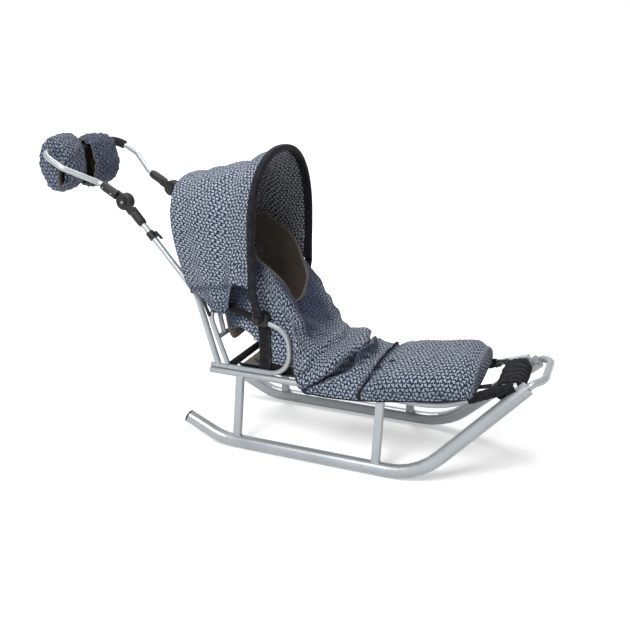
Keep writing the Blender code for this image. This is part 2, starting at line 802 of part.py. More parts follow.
front_hoop_path = arch(lambda z: hinge_x, hoop_y, hinge_z, hoop_half, hoop_spread_z,
                       hoop_top, hoop_shoulder)
band = sweep(front_hoop_path, rounded(hoop_width / 2, hoop_thickness / 2, 0.003, 2), (1, 0, 0))
hoop = add_object("hood_front_hoop", band, black_webbing, Vector((hinge_x, 0, hinge_z)))
for side_name, side in sides.items():
    eye_at = Vector((hinge_x, side * hoop_y, hinge_z))
    eye = turned([(-hoop_thickness / 2, hoop_eye_radius), (hoop_thickness / 2, hoop_eye_radius)],
                 eye_at, (0, 1, 0), 20)
    boolean(hoop, cutter("hoop_eye_" + side_name, eye), "UNION")
    past = 2 * hoop_thickness
    hole = turned([(-past, pin_radius + pin_gap), (past, pin_radius + pin_gap)], eye_at, (0, 1, 0), 16)
    boolean(hoop, cutter("hoop_hole_" + side_name, hole), "DIFFERENCE")


def rear_x(z):
    return rear_hoop_x - (z - rear_hoop_z) * math.tan(rear_hoop_lean)


rear_foot_half = rail_half + loop_radius + rear_hoop_radius - rear_foot_bite
rear_path = arch(rear_x, rear_foot_half, rear_foot_z, rear_hoop_half, rear_spread_z,
                 rear_hoop_top, rear_shoulder)
rear_hoop = add_object("hood_rear_hoop", sweep(rear_path, circle(rear_hoop_radius, 10), (1, 0, 0)),
                       black_plastic)
for room in loop_cutters.values():
    boolean(rear_hoop, room, "DIFFERENCE")


# Hood fabric: a shell through arches that fan from the rear to the front hoop
# columns: share of the way forward, how far the sizes have gone over from the rear to the front
# hoop's, height of the lower edge, how far the cloth stands out beside and above those sizes
hood_rear_z = rear_hoop_z + hood_rear_lift
hood_sections = [
    (0.00, 0.00, 0.494, 0.002, 0.010),
    (0.10, 0.00, 0.464, 0.013, 0.022),
    (0.35, 0.25, 0.468, 0.012, 0.0155),
    (0.60, 0.55, 0.477, 0.009, 0.002),
    (0.80, 0.80, 0.485, 0.006, 0.0),
    (1.00, 1.00, 0.492, 0.002, 0.004),
]


def hood_ring(row, inset, past=0.0):
    """Closed arch outline at a share of the way from rear to front, drawn in by inset."""
    share, fan, low, side_out, top_up = row
    half = rear_hoop_half + (hoop_half - rear_hoop_half) * fan + side_out
    top = rear_hoop_top + (hoop_top - rear_hoop_top) * fan + top_up
    front_x = hinge_x - hoop_width / 2 - seat_gap
    hood_rear_x = rear_hoop_x - hood_behind
    low_x = hood_rear_x + (front_x - hood_rear_x) * share + past
    lean = math.tan(rear_hoop_lean * (1 - share))
    shoulder = rear_shoulder + (hoop_shoulder - rear_shoulder) * share
    foot = low - (hood_foot_reach if inset else 0.0)
    return arch(lambda z: low_x - (z - hood_rear_z) * lean, half - inset - hood_foot_inset, foot,
                half - inset, low + hood_spread, top - inset, shoulder, 6)


hood_outer = [hood_ring(row, 0.0) for row in hood_sections]
hood_inner = [hood_ring(hood_sections[0], hood_wall, hood_wall)]
hood_inner += [hood_ring(row, hood_wall) for row in hood_sections[1:-1]]
hood_inner += [hood_ring(hood_sections[-1], hood_wall, hood_front_reach)]
hood = add_object("hood_fabric", loft(hood_outer), navy_print)
boolean(hood, cutter("hood_room", loft(hood_inner)), "DIFFERENCE")

# Sack: a padded tunnel from the backrest to the toe, open at the back and at a V in front
# columns: x, bottom above the rail line, top, half width, height of the round top, lean share
board_top = board_lift + board_thickness / 2 + seat_gap
sack_rear_x = back_line_x(sack_lean_z, pad_behind + back_pad_thickness + 2 * seat_gap)
sack_sections = [
    (sack_rear_x, 0.0, 0.718, 0.1400, 0.05, 1.0),
    (-0.060, 0.0, 0.706, 0.1400, 0.05, 0.8),
    (-0.020, 0.0, 0.625, 0.1400, 0.07, 0.35),
    (0.003, 0.0, 0.535, 0.1400, 0.09, 0.1),
    (0.030, 0.0, 0.480, 0.1400, 0.10, 0.0),
    (0.065, 0.0, 0.415, 0.1430, 0.09, 0.0),
    (0.100, 0.0, 0.372, 0.1600, 0.085, 0.0),
    (0.150, 0.0, 0.356, 0.1660, 0.080, 0.0),
    (0.220, 0.0, 0.340, 0.1660, 0.070, 0.0),
    (0.300, 0.0, 0.320, 0.1650, 0.050, 0.0),
    (0.330, 0.0, 0.314, 0.1640, 0.045, 0.0),
    (0.370, 0.0, 0.328, 0.1650, 0.055, 0.0),
    (0.460, 0.0, 0.346, 0.1640, 0.070, 0.0),
    (0.550, 0.0, 0.366, 0.1580, 0.075, 0.0),
    (0.595, 0.0, 0.368, 0.1500, 0.070, 0.0),
    (0.618, 0.006, 0.345, 0.1380, 0.050, 0.0),
]


def sack_ring(row, inset, past=0.0):
    x, lift, top, half, shoulder, lean = row
    low = bed_z(x) + board_top + lift + inset
    half = half - inset
    top = top - inset
    corner = sack_corner - inset
    shoulder = min(shoulder - inset, top - low - corner - sack_side_low)
    outline = [(half - corner, low)]
    for i in range(1, 4):
        angle = math.pi / 2 * i / 3
        outline.append((half - corner + corner * math.sin(angle), low + corner - corner * math.cos(angle)))
    for i in range(8):
        angle = math.pi / 2 * i / 7
        power = 2 / 2.4
        rise = shoulder * math.sin(angle) ** power
        outline.append((half * math.cos(angle) ** power, top - shoulder + rise))
    whole = outline + [(-y, z) for y, z in reversed(outline[:-1])]
    slope = math.tan(back_recline) * lean
    return [(x + past - (z - sack_lean_z) * slope, y, z) for y, z in whole]


sack_outer = [sack_ring(row, 0.0) for row in sack_sections]
sack_inner = [sack_ring(sack_sections[0], sack_wall, -sack_cut_reach)]
sack_inner += [sack_ring(row, sack_wall) for row in sack_sections[1:-1]]
sack = add_object("leg_sack", loft(sack_outer), navy_print)
boolean(sack, cutter("sack_room", loft(sack_inner)), "DIFFERENCE")
above = sack_sections[0][2] + sack_wall
v_outline = [(0, sack_v_low), (sack_v_half, sack_v_high), (sack_v_half, above),
             (-sack_v_half, above), (-sack_v_half, sack_v_high)]
v_rings = [[(x, y, z) for y, z in v_outline] for x in (2 * loop_rear_x, 2 * sack_sections[6][0])]
boolean(sack, cutter("sack_mouth", loft(v_rings)), "DIFFERENCE")

# Its sides are open at the hips, between the floor and the lower edge of the back
side_cut_low = rail_z + board_top + sack_wall + side_cut_lift
side_outline = [(side_cut[0][0], side_cut_low)] + side_cut + [(side_cut[-1][0], side_cut_low)]
side_rings = [[(x, side * track_half, z) for x, z in side_outline] for side in (-1, 1)]
boolean(sack, cutter("sack_side_openings", loft(side_rings)), "DIFFERENCE")

# Seat pad on the sack's floor
pad_low = rail_z + board_top + sack_wall + seat_gap
pad_rings = []
for x, pinch in [(seat_pad_rear, 0.55), (seat_pad_rear + 0.008, 0.9), (seat_pad_rear + 0.023, 1.0),
                 (seat_pad_front - 0.020, 1.0), (seat_pad_front - 0.006, 0.85), (seat_pad_front, 0.5)]:
    half_high = seat_pad_height / 2 * pinch
    middle = pad_low + seat_pad_height / 2
    pad_rings.append([(x, a, middle + b) for a, b in
                      rounded(seat_pad_half * (0.9 + 0.1 * pinch), half_high, half_high * 0.8, 3)])
add_object("seat_pad", loft(pad_rings), brown_fleece)

# Webbing: side straps inside the loops, toe straps, and the band wound round the nose cross tube
for side_name, side in sides.items():
    y = side * (rail_half - loop_radius - seat_gap - strap_thickness / 2)
    ends = [Vector((side_strap_x, y, z)) for z in (rail_z + rail_radius, hinge_z - side_strap_drop)]
    add_object("side_strap_" + side_name,
               sweep(ends, rounded(strap_thickness / 2, side_strap_width / 2, strap_edge, 1), (0, 1, 0)),
               black_webbing)

    # Toe strap: from under the sack's toe forward along the rail to the wound band
    toe_y = side * toe_strap_half
    toe_x = board_front_x + toe_strap_gap
    strap_line = [Vector((toe_x, toe_y, bed_z(toe_x) + board_lift)),
                  Vector((toe_x + toe_strap_length, toe_y, nose_cross_z + toe_strap_rise))]
    add_object("toe_strap_" + side_name,
               sweep(strap_line, rounded(strap_width / 2, strap_thickness / 2, strap_edge, 1), (0, 1, 0)),
               black_webbing)

wrap_at = path_at_x(rail_path(1), nose_cross_x)
wrap_middle = Vector((nose_cross_x, 0, wrap_at.z))
wrap_path = [wrap_middle - Vector((0, wrap_half, 0)), wrap_middle + Vector((0, wrap_half, 0))]
add_object("nose_wrap", sleeve(wrap_path, squared(wrap_half_length, wrap_half_height, 3.0, -wrap_tilt),
                               squared(cross_radius + seat_gap, cross_radius + seat_gap, 2.0, -wrap_tilt),
                               (1, 0, 0)), black_webbing)
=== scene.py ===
import json
import math

import bmesh
import bpy
import numpy as np
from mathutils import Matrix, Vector


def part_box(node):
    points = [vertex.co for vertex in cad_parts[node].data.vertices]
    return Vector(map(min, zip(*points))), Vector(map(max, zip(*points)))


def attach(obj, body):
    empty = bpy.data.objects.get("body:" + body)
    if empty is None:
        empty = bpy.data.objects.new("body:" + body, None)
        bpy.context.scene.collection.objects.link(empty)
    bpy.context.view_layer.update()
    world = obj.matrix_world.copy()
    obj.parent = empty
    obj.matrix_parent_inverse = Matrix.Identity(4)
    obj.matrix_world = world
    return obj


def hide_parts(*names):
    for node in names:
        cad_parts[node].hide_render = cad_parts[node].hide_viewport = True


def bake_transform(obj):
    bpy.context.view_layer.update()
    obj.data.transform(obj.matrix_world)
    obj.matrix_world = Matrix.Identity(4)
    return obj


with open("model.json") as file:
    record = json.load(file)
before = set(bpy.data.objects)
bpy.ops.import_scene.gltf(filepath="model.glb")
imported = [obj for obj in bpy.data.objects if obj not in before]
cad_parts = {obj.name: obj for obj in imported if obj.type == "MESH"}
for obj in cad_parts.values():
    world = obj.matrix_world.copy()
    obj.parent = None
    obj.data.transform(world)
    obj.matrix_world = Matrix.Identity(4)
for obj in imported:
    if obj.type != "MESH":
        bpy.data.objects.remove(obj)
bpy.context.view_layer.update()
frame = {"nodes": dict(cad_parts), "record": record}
nodes = frame["nodes"]
print("frame loaded:", len(nodes), "nodes")


# Camera and lamps

view = {"target": (0.08, 0.0, 0.403), "azimuth": 22.2, "elevation": 18.5, "distance": 2.487, "lens": 45.45}


def placeCamera():
    # Looks at the target from its distance, azimuth and elevation
    azimuth = math.radians(view["azimuth"])
    elevation = math.radians(view["elevation"])
    back = Vector((math.sin(azimuth) * math.cos(elevation), -math.cos(azimuth) * math.cos(elevation),
                   math.sin(elevation)))
    data = bpy.data.cameras.new("camera")
    data.lens = view["lens"]
    data.sensor_width = 36
    camera = bpy.data.objects.new("camera", data)
    bpy.context.collection.objects.link(camera)
    camera.location = Vector(view["target"]) + back * view["distance"]
    camera.rotation_euler = back.to_track_quat("Z", "Y").to_euler()
    bpy.context.scene.camera = camera


def addLamp(name, place, size, power, colour=(1, 1, 1)):
    # A round area lamp turned to the middle of the sled
    data = bpy.data.lights.new(name, "AREA")
    data.shape = "DISK"
    data.size = size
    data.energy = power
    data.color = colour
    lamp = bpy.data.objects.new(name, data)
    bpy.context.collection.objects.link(lamp)
    lamp.location = place
    lamp.rotation_euler = (Vector(place) - Vector((0.0, 0.0, 0.4))).to_track_quat("Z", "Y").to_euler()


placeCamera()
addLamp("keyLamp", (-0.1, -2.5, 2.8), 1.4, 92)
addLamp("topLamp", (-0.9, 0.9, 3.1), 1.4, 42)


# Shader helpers

def newGroup(name, inputs, outputs):
    # A node group; inputs are (label, kind, value) and outputs (label, kind)
    group = bpy.data.node_groups.new(name, "ShaderNodeTree")
    for label, kind, value in inputs:
        socket = group.interface.new_socket(name=label, in_out="INPUT", socket_type=kind)
        if value is not None:
            socket.default_value = value
    for label, kind in outputs:
        group.interface.new_socket(name=label, in_out="OUTPUT", socket_type=kind)
    return group, group.nodes.new("NodeGroupInput").outputs, group.nodes.new("NodeGroupOutput").inputs


def feed(tree, socket, value):
    # Links the socket to another one, or gives it a plain value
    if isinstance(value, bpy.types.NodeSocket):
        tree.links.new(value, socket)
    else:
        socket.default_value = value


def calc(tree, operation, *values, clamp=False):
    node = tree.nodes.new("ShaderNodeMath")
    node.operation = operation
    node.use_clamp = clamp
    for socket, value in zip(node.inputs, values):
        feed(tree, socket, value)
    return node.outputs[0]


def splitVector(tree, vector):
    node = tree.nodes.new("ShaderNodeSeparateXYZ")
    tree.links.new(vector, node.inputs[0])
    return node.outputs


def noise(tree, vector, scale, detail=3.0, roughness=0.5, stretch=None):
    # Noise over the vector, which a mapping stretches first where that is given
    if stretch:
        mapping = tree.nodes.new("ShaderNodeMapping")
        mapping.inputs["Scale"].default_value = stretch
        tree.links.new(vector, mapping.inputs["Vector"])
        vector = mapping.outputs["Vector"]
    node = tree.nodes.new("ShaderNodeTexNoise")
    tree.links.new(vector, node.inputs["Vector"])
    feed(tree, node.inputs["Scale"], scale)
    node.inputs["Detail"].default_value = detail
    node.inputs["Roughness"].default_value = roughness
    return node.outputs["Fac"]


def spread(tree, value, low, high, newLow=0.0, newHigh=1.0):
    # The value's place between low and high, carried over to newLow and newHigh
    node = tree.nodes.new("ShaderNodeMapRange")
    for socket, number in zip(node.inputs, (value, low, high, newLow, newHigh)):
        feed(tree, socket, number)
    return node.outputs[0]


def mixColour(tree, share, first, second):
    node = tree.nodes.new("ShaderNodeMix")
    node.data_type = "RGBA"
    feed(tree, node.inputs["Factor"], share)
    for socket, value in ((node.inputs["A"], first), (node.inputs["B"], second)):
        socket = [s for s in node.inputs if s.name == socket.name and s.type == "RGBA"][0]
        feed(tree, socket, value if isinstance(value, bpy.types.NodeSocket) else (*value, 1.0))
    return [s for s in node.outputs if s.type == "RGBA"][0]


def useGroup(tree, group, **values):
    node = tree.nodes.new("ShaderNodeGroup")
    node.node_tree = group
    for label, value in values.items():
        feed(tree, node.inputs[label], value)
    return node.outputs


def newMaterial(name, colour, roughness, metallic=0.0, specular=0.5, sheen=0.0, coat=0.0):
    made = bpy.data.materials.new(name)
    made.use_nodes = True
    made.diffuse_color = (*colour, 1.0)
    tree = made.node_tree
    shader = tree.nodes["Principled BSDF"]
    shader.inputs["Base Color"].default_value = (*colour, 1.0)
    shader.inputs["Roughness"].default_value = roughness
    shader.inputs["Metallic"].default_value = metallic
    shader.inputs["Specular IOR Level"].default_value = specular
    shader.inputs["Sheen Weight"].default_value = sheen
    shader.inputs["Coat Weight"].default_value = coat
    return made, tree, shader


def coordinates(tree, kind):
    return tree.nodes.new("ShaderNodeTexCoord").outputs[kind]


def bumped(tree, shader, height, distance, strength=1.0):
    node = tree.nodes.new("ShaderNodeBump")
    node.inputs["Strength"].default_value = strength
    node.inputs["Distance"].default_value = distance
    tree.links.new(height, node.inputs["Height"])
    tree.links.new(node.outputs["Normal"], shader.inputs["Normal"])


# Shared effects

def makeStrokePrint():
    # Staggered cells; each holds one slanted stroke with a short side stroke, turned over in every
    # other cell. Mask is 1 on the strokes.
    group, given, wanted = newGroup(
        "strokePrint",
        [("Vector", "NodeSocketVector", None), ("Pitch", "NodeSocketFloat", 0.014),
         ("Length", "NodeSocketFloat", 0.46), ("Width", "NodeSocketFloat", 0.13)],
        [("Mask", "NodeSocketFloat")])
    tree = group
    x, y, _ = splitVector(tree, given["Vector"])
    jitter = calc(tree, "MULTIPLY_ADD", noise(tree, given["Vector"], 90, 1), 0.5, -0.25)
    u = calc(tree, "ADD", calc(tree, "DIVIDE", x, given["Pitch"]), jitter)
    v = calc(tree, "SUBTRACT", calc(tree, "DIVIDE", y, given["Pitch"]), jitter)
    row = calc(tree, "FLOOR", v)
    u = calc(tree, "MULTIPLY_ADD", calc(tree, "FLOORED_MODULO", row, 2.0), 0.5, u)
    column = calc(tree, "FLOOR", u)
    across = calc(tree, "SUBTRACT", calc(tree, "SUBTRACT", u, column), 0.5)
    up = calc(tree, "SUBTRACT", calc(tree, "SUBTRACT", v, row), 0.5)
    parity = calc(tree, "FLOORED_MODULO", calc(tree, "ADD", row, column), 2.0)
    first = calc(tree, "MULTIPLY", calc(tree, "ADD", across, up), 0.7071)
    second = calc(tree, "MULTIPLY", calc(tree, "SUBTRACT", across, up), 0.7071)
    difference = calc(tree, "SUBTRACT", second, first)
    along = calc(tree, "MULTIPLY_ADD", difference, parity, first)
    beside = calc(tree, "SUBTRACT", calc(tree, "ADD", first, second), along)

    def edge(limit, value):
        return calc(tree, "MULTIPLY_ADD", calc(tree, "SUBTRACT", limit, value), 9.0, 0.5, clamp=True)

    stroke = calc(tree, "MULTIPLY", edge(given["Length"], calc(tree, "ABSOLUTE", along)),
                  edge(given["Width"], calc(tree, "ABSOLUTE", beside)))
    ahead = edge(0.0, calc(tree, "MULTIPLY", beside, -1.0))
    branch = calc(tree, "MULTIPLY", calc(tree, "MULTIPLY", edge(given["Length"], beside), ahead),
                  edge(given["Width"], calc(tree, "ABSOLUTE", along)))
    tree.links.new(calc(tree, "MAXIMUM", stroke, branch), wanted["Mask"])
    return group


def makeWeave():
    # Height = 0.5 + 0.5 sin(2 pi (x + z) / pitch) sin(2 pi y / pitch), with a little uneven yarn.
    group, given, wanted = newGroup(
        "plainWeave",
        [("Vector", "NodeSocketVector", None), ("Pitch", "NodeSocketFloat", 0.0012)],
        [("Height", "NodeSocketFloat")])
    x, y, z = splitVector(group, given["Vector"])
    waves = []
    for axis in (calc(group, "ADD", x, z), y):
        turns = calc(group, "DIVIDE", axis, given["Pitch"])
        waves.append(calc(group, "SINE", calc(group, "MULTIPLY", turns, 2 * math.pi)))
    woven = calc(group, "MULTIPLY_ADD", calc(group, "MULTIPLY", *waves), 0.5, 0.5)
    uneven = calc(group, "MULTIPLY_ADD", noise(group, given["Vector"], 240, 2), 0.6, 0.7)
    group.links.new(calc(group, "MULTIPLY", woven, uneven), wanted["Height"])
    return group


def makeWear():
    # Tone drifts slowly over the surface; Scuff marks sparse rubbed spots and short scratches.
    group, given, wanted = newGroup(
        "wear",
        [("Vector", "NodeSocketVector", None), ("Drift", "NodeSocketFloat", 6.0),
         ("Scuffs", "NodeSocketFloat", 60.0), ("Amount", "NodeSocketFloat", 0.5)],
        [("Tone", "NodeSocketFloat"), ("Scuff", "NodeSocketFloat")])
    tone = noise(group, given["Vector"], given["Drift"], 4, 0.6)
    fine = noise(group, given["Vector"], given["Scuffs"], 5, 0.7)
    where = noise(group, given["Vector"], given["Drift"], 2, 0.5, (1.7, 1.7, 1.7))
    scratch = noise(group, given["Vector"], given["Scuffs"], 2, 0.5, (0.15, 4.0, 4.0))
    spots = spread(group, fine, 0.60, 0.68)
    lines = spread(group, scratch, 0.66, 0.72)
    both = calc(group, "MAXIMUM", spots, lines)
    masked = calc(group, "MULTIPLY", both, spread(group, where, 0.45, 0.65))
    group.links.new(tone, wanted["Tone"])
    group.links.new(calc(group, "MULTIPLY", masked, given["Amount"]), wanted["Scuff"])
    return group


strokePrint = makeStrokePrint()
plainWeave = makeWeave()
wear = makeWear()


# Finishes

def makePaint(name, light, dark, rubbed):
    # Metallic paint whose tone drifts, duller and darker where it is rubbed
    made, tree, shader = newMaterial(name, light, 0.36, metallic=0.45, coat=0.15)
    place = coordinates(tree, "Object")
    marks = useGroup(tree, wear, Vector=place, Drift=5.0, Scuffs=70.0, Amount=0.55)
    base = mixColour(tree, spread(tree, marks["Tone"], 0.3, 0.7), dark, light)
    tree.links.new(mixColour(tree, marks["Scuff"], base, rubbed), shader.inputs["Base Color"])
    rough = calc(tree, "MULTIPLY_ADD", marks["Tone"], 0.22, 0.24)
    tree.links.new(calc(tree, "MULTIPLY_ADD", marks["Scuff"], 0.3, rough), shader.inputs["Roughness"])
    bumped(tree, shader, noise(tree, place, 420, 2), 0.00012)
    return made


def makePlastic(name, colour, pale, grain, rough):
    # Grained plastic, paler where it is rubbed
    made, tree, shader = newMaterial(name, colour, rough, specular=0.28)
    place = coordinates(tree, "Object")
    marks = useGroup(tree, wear, Vector=place, Drift=14.0, Scuffs=130.0, Amount=0.6)
    tree.links.new(mixColour(tree, marks["Scuff"], colour, pale), shader.inputs["Base Color"])
    tree.links.new(calc(tree, "MULTIPLY_ADD", marks["Tone"], 0.2, rough - 0.1), shader.inputs["Roughness"])
    bumped(tree, shader, noise(tree, place, grain, 3), 0.00025)
    return made


def makeFoam():
    # Fine pores, paler and darker
    made, tree, shader = newMaterial("blackFoam", (0.018, 0.018, 0.018), 0.9, specular=0.25)
    place = coordinates(tree, "Object")
    pores = noise(tree, place, 520, 4, 0.6)
    dark, pale = (0.008, 0.008, 0.008), (0.035, 0.035, 0.036)
    tree.links.new(mixColour(tree, spread(tree, pores, 0.35, 0.65), dark, pale), shader.inputs["Base Color"])
    bumped(tree, shader, pores, 0.0008)
    return made


def makeBoard():
    # Dark stain over grain that runs along x
    made, tree, shader = newMaterial("stainedBoard", (0.03, 0.028, 0.026), 0.55)
    place = coordinates(tree, "Object")
    grain = noise(tree, place, 30, 5, 0.65, (0.35, 5.0, 5.0))
    dark, pale = (0.016, 0.015, 0.014), (0.055, 0.05, 0.045)
    tree.links.new(mixColour(tree, spread(tree, grain, 0.35, 0.65), dark, pale), shader.inputs["Base Color"])
    tree.links.new(calc(tree, "MULTIPLY_ADD", grain, 0.3, 0.4), shader.inputs["Roughness"])
    bumped(tree, shader, grain, 0.0004)
    return made


def makeWebbing(name, colour, pale, kind="UV"):
    # Ribs run across the band every 2.1 mm; kind "Object" is for bands without a UV map
    made, tree, shader = newMaterial(name, colour, 0.85, specular=0.15, sheen=0.03)
    place = coordinates(tree, kind)
    weave = useGroup(tree, plainWeave, Vector=place, Pitch=0.0021)["Height"]
    fuzz = noise(tree, place, 60, 4, 0.6)
    raised = calc(tree, "MULTIPLY_ADD", weave, 0.5, 0.5)
    share = calc(tree, "MULTIPLY", spread(tree, fuzz, 0.4, 0.75), raised)
    tree.links.new(mixColour(tree, share, colour, pale), shader.inputs["Base Color"])
    bumped(tree, shader, weave, 0.0005)
    return made


def makeFleece(name, deep, light):
    # Short tufts, lighter at their tips, over a slow drift of tone
    made, tree, shader = newMaterial(name, deep, 1.0, specular=0.1, sheen=0.35)
    place = coordinates(tree, "Object")
    tufts = noise(tree, place, 260, 5, 0.7)
    drift = calc(tree, "MULTIPLY", noise(tree, place, 11, 3), 0.4)
    share = calc(tree, "MULTIPLY_ADD", spread(tree, tufts, 0.3, 0.7), 0.6, drift)
    tree.links.new(mixColour(tree, share, deep, light), shader.inputs["Base Color"])
    bumped(tree, shader, tufts, 0.0022)
    return made


def makePrint(name, ink, pale, pitch=0.0120, length=0.45, width=0.135):
    # Strokes of pale ink on dark cloth, read from the piece's own UV map, which is in metres.
    # The attribute shade, 0 to 1, is painted shade: the strokes fade into the dark cloth on the chest panel
    # that faces away from the light, in the folds, under the hood's pinched edge and on the muffs.
    made, tree, shader = newMaterial(name, ink, 0.92, specular=0.2, sheen=0.1)
    place = coordinates(tree, "UV")
    mask = useGroup(tree, strokePrint, Vector=place, Pitch=pitch, Length=length, Width=width)["Mask"]
    weave = useGroup(tree, plainWeave, Vector=place, Pitch=0.0016)["Height"]
    drift = noise(tree, place, 14, 3)
    shade = tree.nodes.new("ShaderNodeAttribute")
    shade.attribute_name = "shade"
    worn = calc(tree, "MULTIPLY_ADD", noise(tree, place, 35, 4, 0.6), 0.30, 0.82)
    lit = calc(tree, "MULTIPLY_ADD", shade.outputs["Fac"], -0.88, 1.0)
    strength = calc(tree, "MULTIPLY", lit, worn, clamp=True)
    cloth = mixColour(tree, drift, tuple(c * 0.75 for c in ink), tuple(c * 1.35 for c in ink))
    inkTone = mixColour(tree, spread(tree, weave, 0.1, 0.9), tuple(c * 0.8 for c in pale), pale)
    tree.links.new(mixColour(tree, calc(tree, "MULTIPLY", mask, strength), cloth, inkTone),
                   shader.inputs["Base Color"])
    bumped(tree, shader, weave, 0.0004)
    return made


silverPaint = makePaint("silverPaint", (0.38, 0.405, 0.425), (0.30, 0.32, 0.34), (0.16, 0.16, 0.16))
blackPlastic = makePlastic("blackPlastic", (0.010, 0.010, 0.011), (0.045, 0.045, 0.048), 900, 0.45)
blackFoam = makeFoam()
stainedBoard = makeBoard()
blackWebbing = makeWebbing("blackWebbing", (0.007, 0.007, 0.009), (0.028, 0.028, 0.034))
blackTape = makeWebbing("blackTape", (0.007, 0.007, 0.010), (0.026, 0.026, 0.034), "Object")
brownFleece = makeFleece("brownFleece", (0.055, 0.043, 0.034), (0.165, 0.135, 0.112))
paleRim = makeFleece("paleRim", (0.065, 0.058, 0.050), (0.17, 0.155, 0.135))
navyPrint = makePrint("navyPrint", (0.022, 0.031, 0.062), (0.47, 0.535, 0.605))
greyThread = makeWebbing("greyThread", (0.10, 0.11, 0.13), (0.24, 0.26, 0.30), "Object")
innerPrint = makePrint("innerPrint", (0.038, 0.040, 0.054), (0.56, 0.57, 0.60))

cadFinishes = {
    "silver_paint": silverPaint, "black_plastic": blackPlastic, "black_webbing": blackTape,
    "black_foam": blackFoam, "navy_print": navyPrint, "brown_fleece": brownFleece,
    "seat_board": stainedBoard,
}
slotOf = {entry["node"]: entry["material_slot"] for entry in frame["record"]["subparts"]}
for nodeName, node in nodes.items():
    for materialSlot in node.material_slots:
        materialSlot.material = cadFinishes[slotOf[nodeName]]
print("finishes made")


# Mesh helpers

def smoothCurve(knots, values, at):
    # Cubic through the knots, its slope at each knot a weighted mean of the slopes beside it
    knots, values, at = (np.asarray(a, float) for a in (knots, values, at))
    slopes = np.gradient(values, knots)
    i = np.clip(np.searchsorted(knots, at, side="right") - 1, 0, len(knots) - 2)
    width = knots[i + 1] - knots[i]
    t = np.clip((at - knots[i]) / width, 0, 1)
    return ((2 * t ** 3 - 3 * t ** 2 + 1) * values[i] + (t ** 3 - 2 * t ** 2 + t) * width * slopes[i]
            + (3 * t ** 2 - 2 * t ** 3) * values[i + 1] + (t ** 3 - t ** 2) * width * slopes[i + 1])


def smoothStep(value, low, high):
    # 3 s^2 - 2 s^3, where s is the share of the way from low to high, from 0 to 1
    share = np.clip((value - low) / (high - low), 0, 1)
    return share * share * (3 - 2 * share)


def hump(distance, width):
    # Height 1 at distance 0, falling to nothing over about two widths
    return np.exp(-(distance / width) ** 2)


def ripples(a, b, seed, scale):
    # Sum of seven sine waves over (a, b) in seeded directions, each shorter and lower than the last
    rng = np.random.default_rng(seed)
    total = np.zeros(np.broadcast(a, b).shape)
    for octave in range(7):
        angle, phase = rng.uniform(0, 2 * math.pi, 2)
        rate = 2 * math.pi / scale * 1.45 ** octave
        total = total + np.sin(rate * (a * math.cos(angle) + b * math.sin(angle)) + phase) / 1.35 ** octave
    return total / 3.2


def gridNormals(points):
    # Unit cross product of the steps along the rows and along the columns
    down = np.gradient(points, axis=0)
    along = np.gradient(points, axis=1)
    normal = np.cross(down, along)
    return normal / np.maximum(np.linalg.norm(normal, axis=2, keepdims=True), 1e-9)


def lineLengths(path):
    # How far along the path each of its points lies
    return np.concatenate([[0], np.cumsum(np.linalg.norm(np.diff(path, axis=0), axis=1))])


def smoothed(path, times):
    # Each inner point moves to the mean of itself, counted twice, and its two neighbours
    for _ in range(times):
        path[1:-1] = 0.25 * path[:-2] + 0.5 * path[1:-1] + 0.25 * path[2:]
    return path


def arcLengths(points, axis):
    # The same for a grid of points, along its rows or its columns
    step = np.linalg.norm(np.diff(points, axis=axis), axis=2)
    zero = np.zeros_like(np.take(step, [0], axis=axis))
    return np.concatenate([zero, np.cumsum(step, axis=axis)], axis=axis)


def evenColumns(points, count):
    # Each row of points resampled to count points at even distances along it
    length = arcLengths(points, 1)
    share = np.linspace(0, 1, count)
    return np.stack([np.stack([np.interp(share * row[-1], row, line[:, k]) for k in range(3)], axis=1)
                     for row, line in zip(length, points)])


def buildMesh(name, corners, faces, uvs=None, shade=None, slots=None, materials=()):
    # corners: n x 3; faces: m x 4 indices; uvs in metres, n x 2 or m x 4 x 2; shade: n values of painted
    # shade; slots: m material numbers
    mesh = bpy.data.meshes.new(name)
    mesh.vertices.add(len(corners))
    mesh.vertices.foreach_set("co", np.asarray(corners, np.float32).ravel())
    mesh.loops.add(faces.size)
    mesh.loops.foreach_set("vertex_index", faces.ravel().astype(np.int32))
    mesh.polygons.add(len(faces))
    mesh.polygons.foreach_set("loop_start", np.arange(0, faces.size, faces.shape[1], dtype=np.int32))
    mesh.update(calc_edges=True)
    if uvs is not None:
        layer = mesh.uv_layers.new(name="printMap")
        uvs = np.asarray(uvs, np.float32)
        layer.data.foreach_set("uv", (uvs if uvs.ndim == 3 else uvs[faces]).ravel())
    if shade is not None:
        # painted shade, one value per point, which dims the print
        shadeValues = mesh.attributes.new("shade", "FLOAT", "POINT")
        shadeValues.data.foreach_set("value", np.asarray(shade, np.float32).ravel())
    for finish in materials:
        mesh.materials.append(finish)
    if slots is not None:
        mesh.polygons.foreach_set("material_index", np.asarray(slots, np.int32))
    mesh.validate()
    mesh.shade_smooth()
    made = bpy.data.objects.new(name, mesh)
    bpy.context.collection.objects.link(made)
    return made


def gridFaces(rows, columns, closed=False, start=0):
    # Quads between neighbouring points of a rows x columns grid; closed joins the last column to the first
    i = np.arange(rows - 1)[:, None]
    j = np.arange(columns if closed else columns - 1)[None, :]
    k = (j + 1) % columns
    return np.stack([i * columns + j, i * columns + k, (i + 1) * columns + k, (i + 1) * columns + j],
                    axis=2).reshape(-1, 4) + start


def merged(piece, distance=0.00005):
    # Points closer together than distance become one, and faces that shrink to nothing go
    work = bmesh.new()
    work.from_mesh(piece.data)
    bmesh.ops.remove_doubles(work, verts=work.verts, dist=distance)
    bmesh.ops.dissolve_degenerate(work, edges=work.edges, dist=1e-7)
    work.to_mesh(piece.data)
    work.free()
    return piece


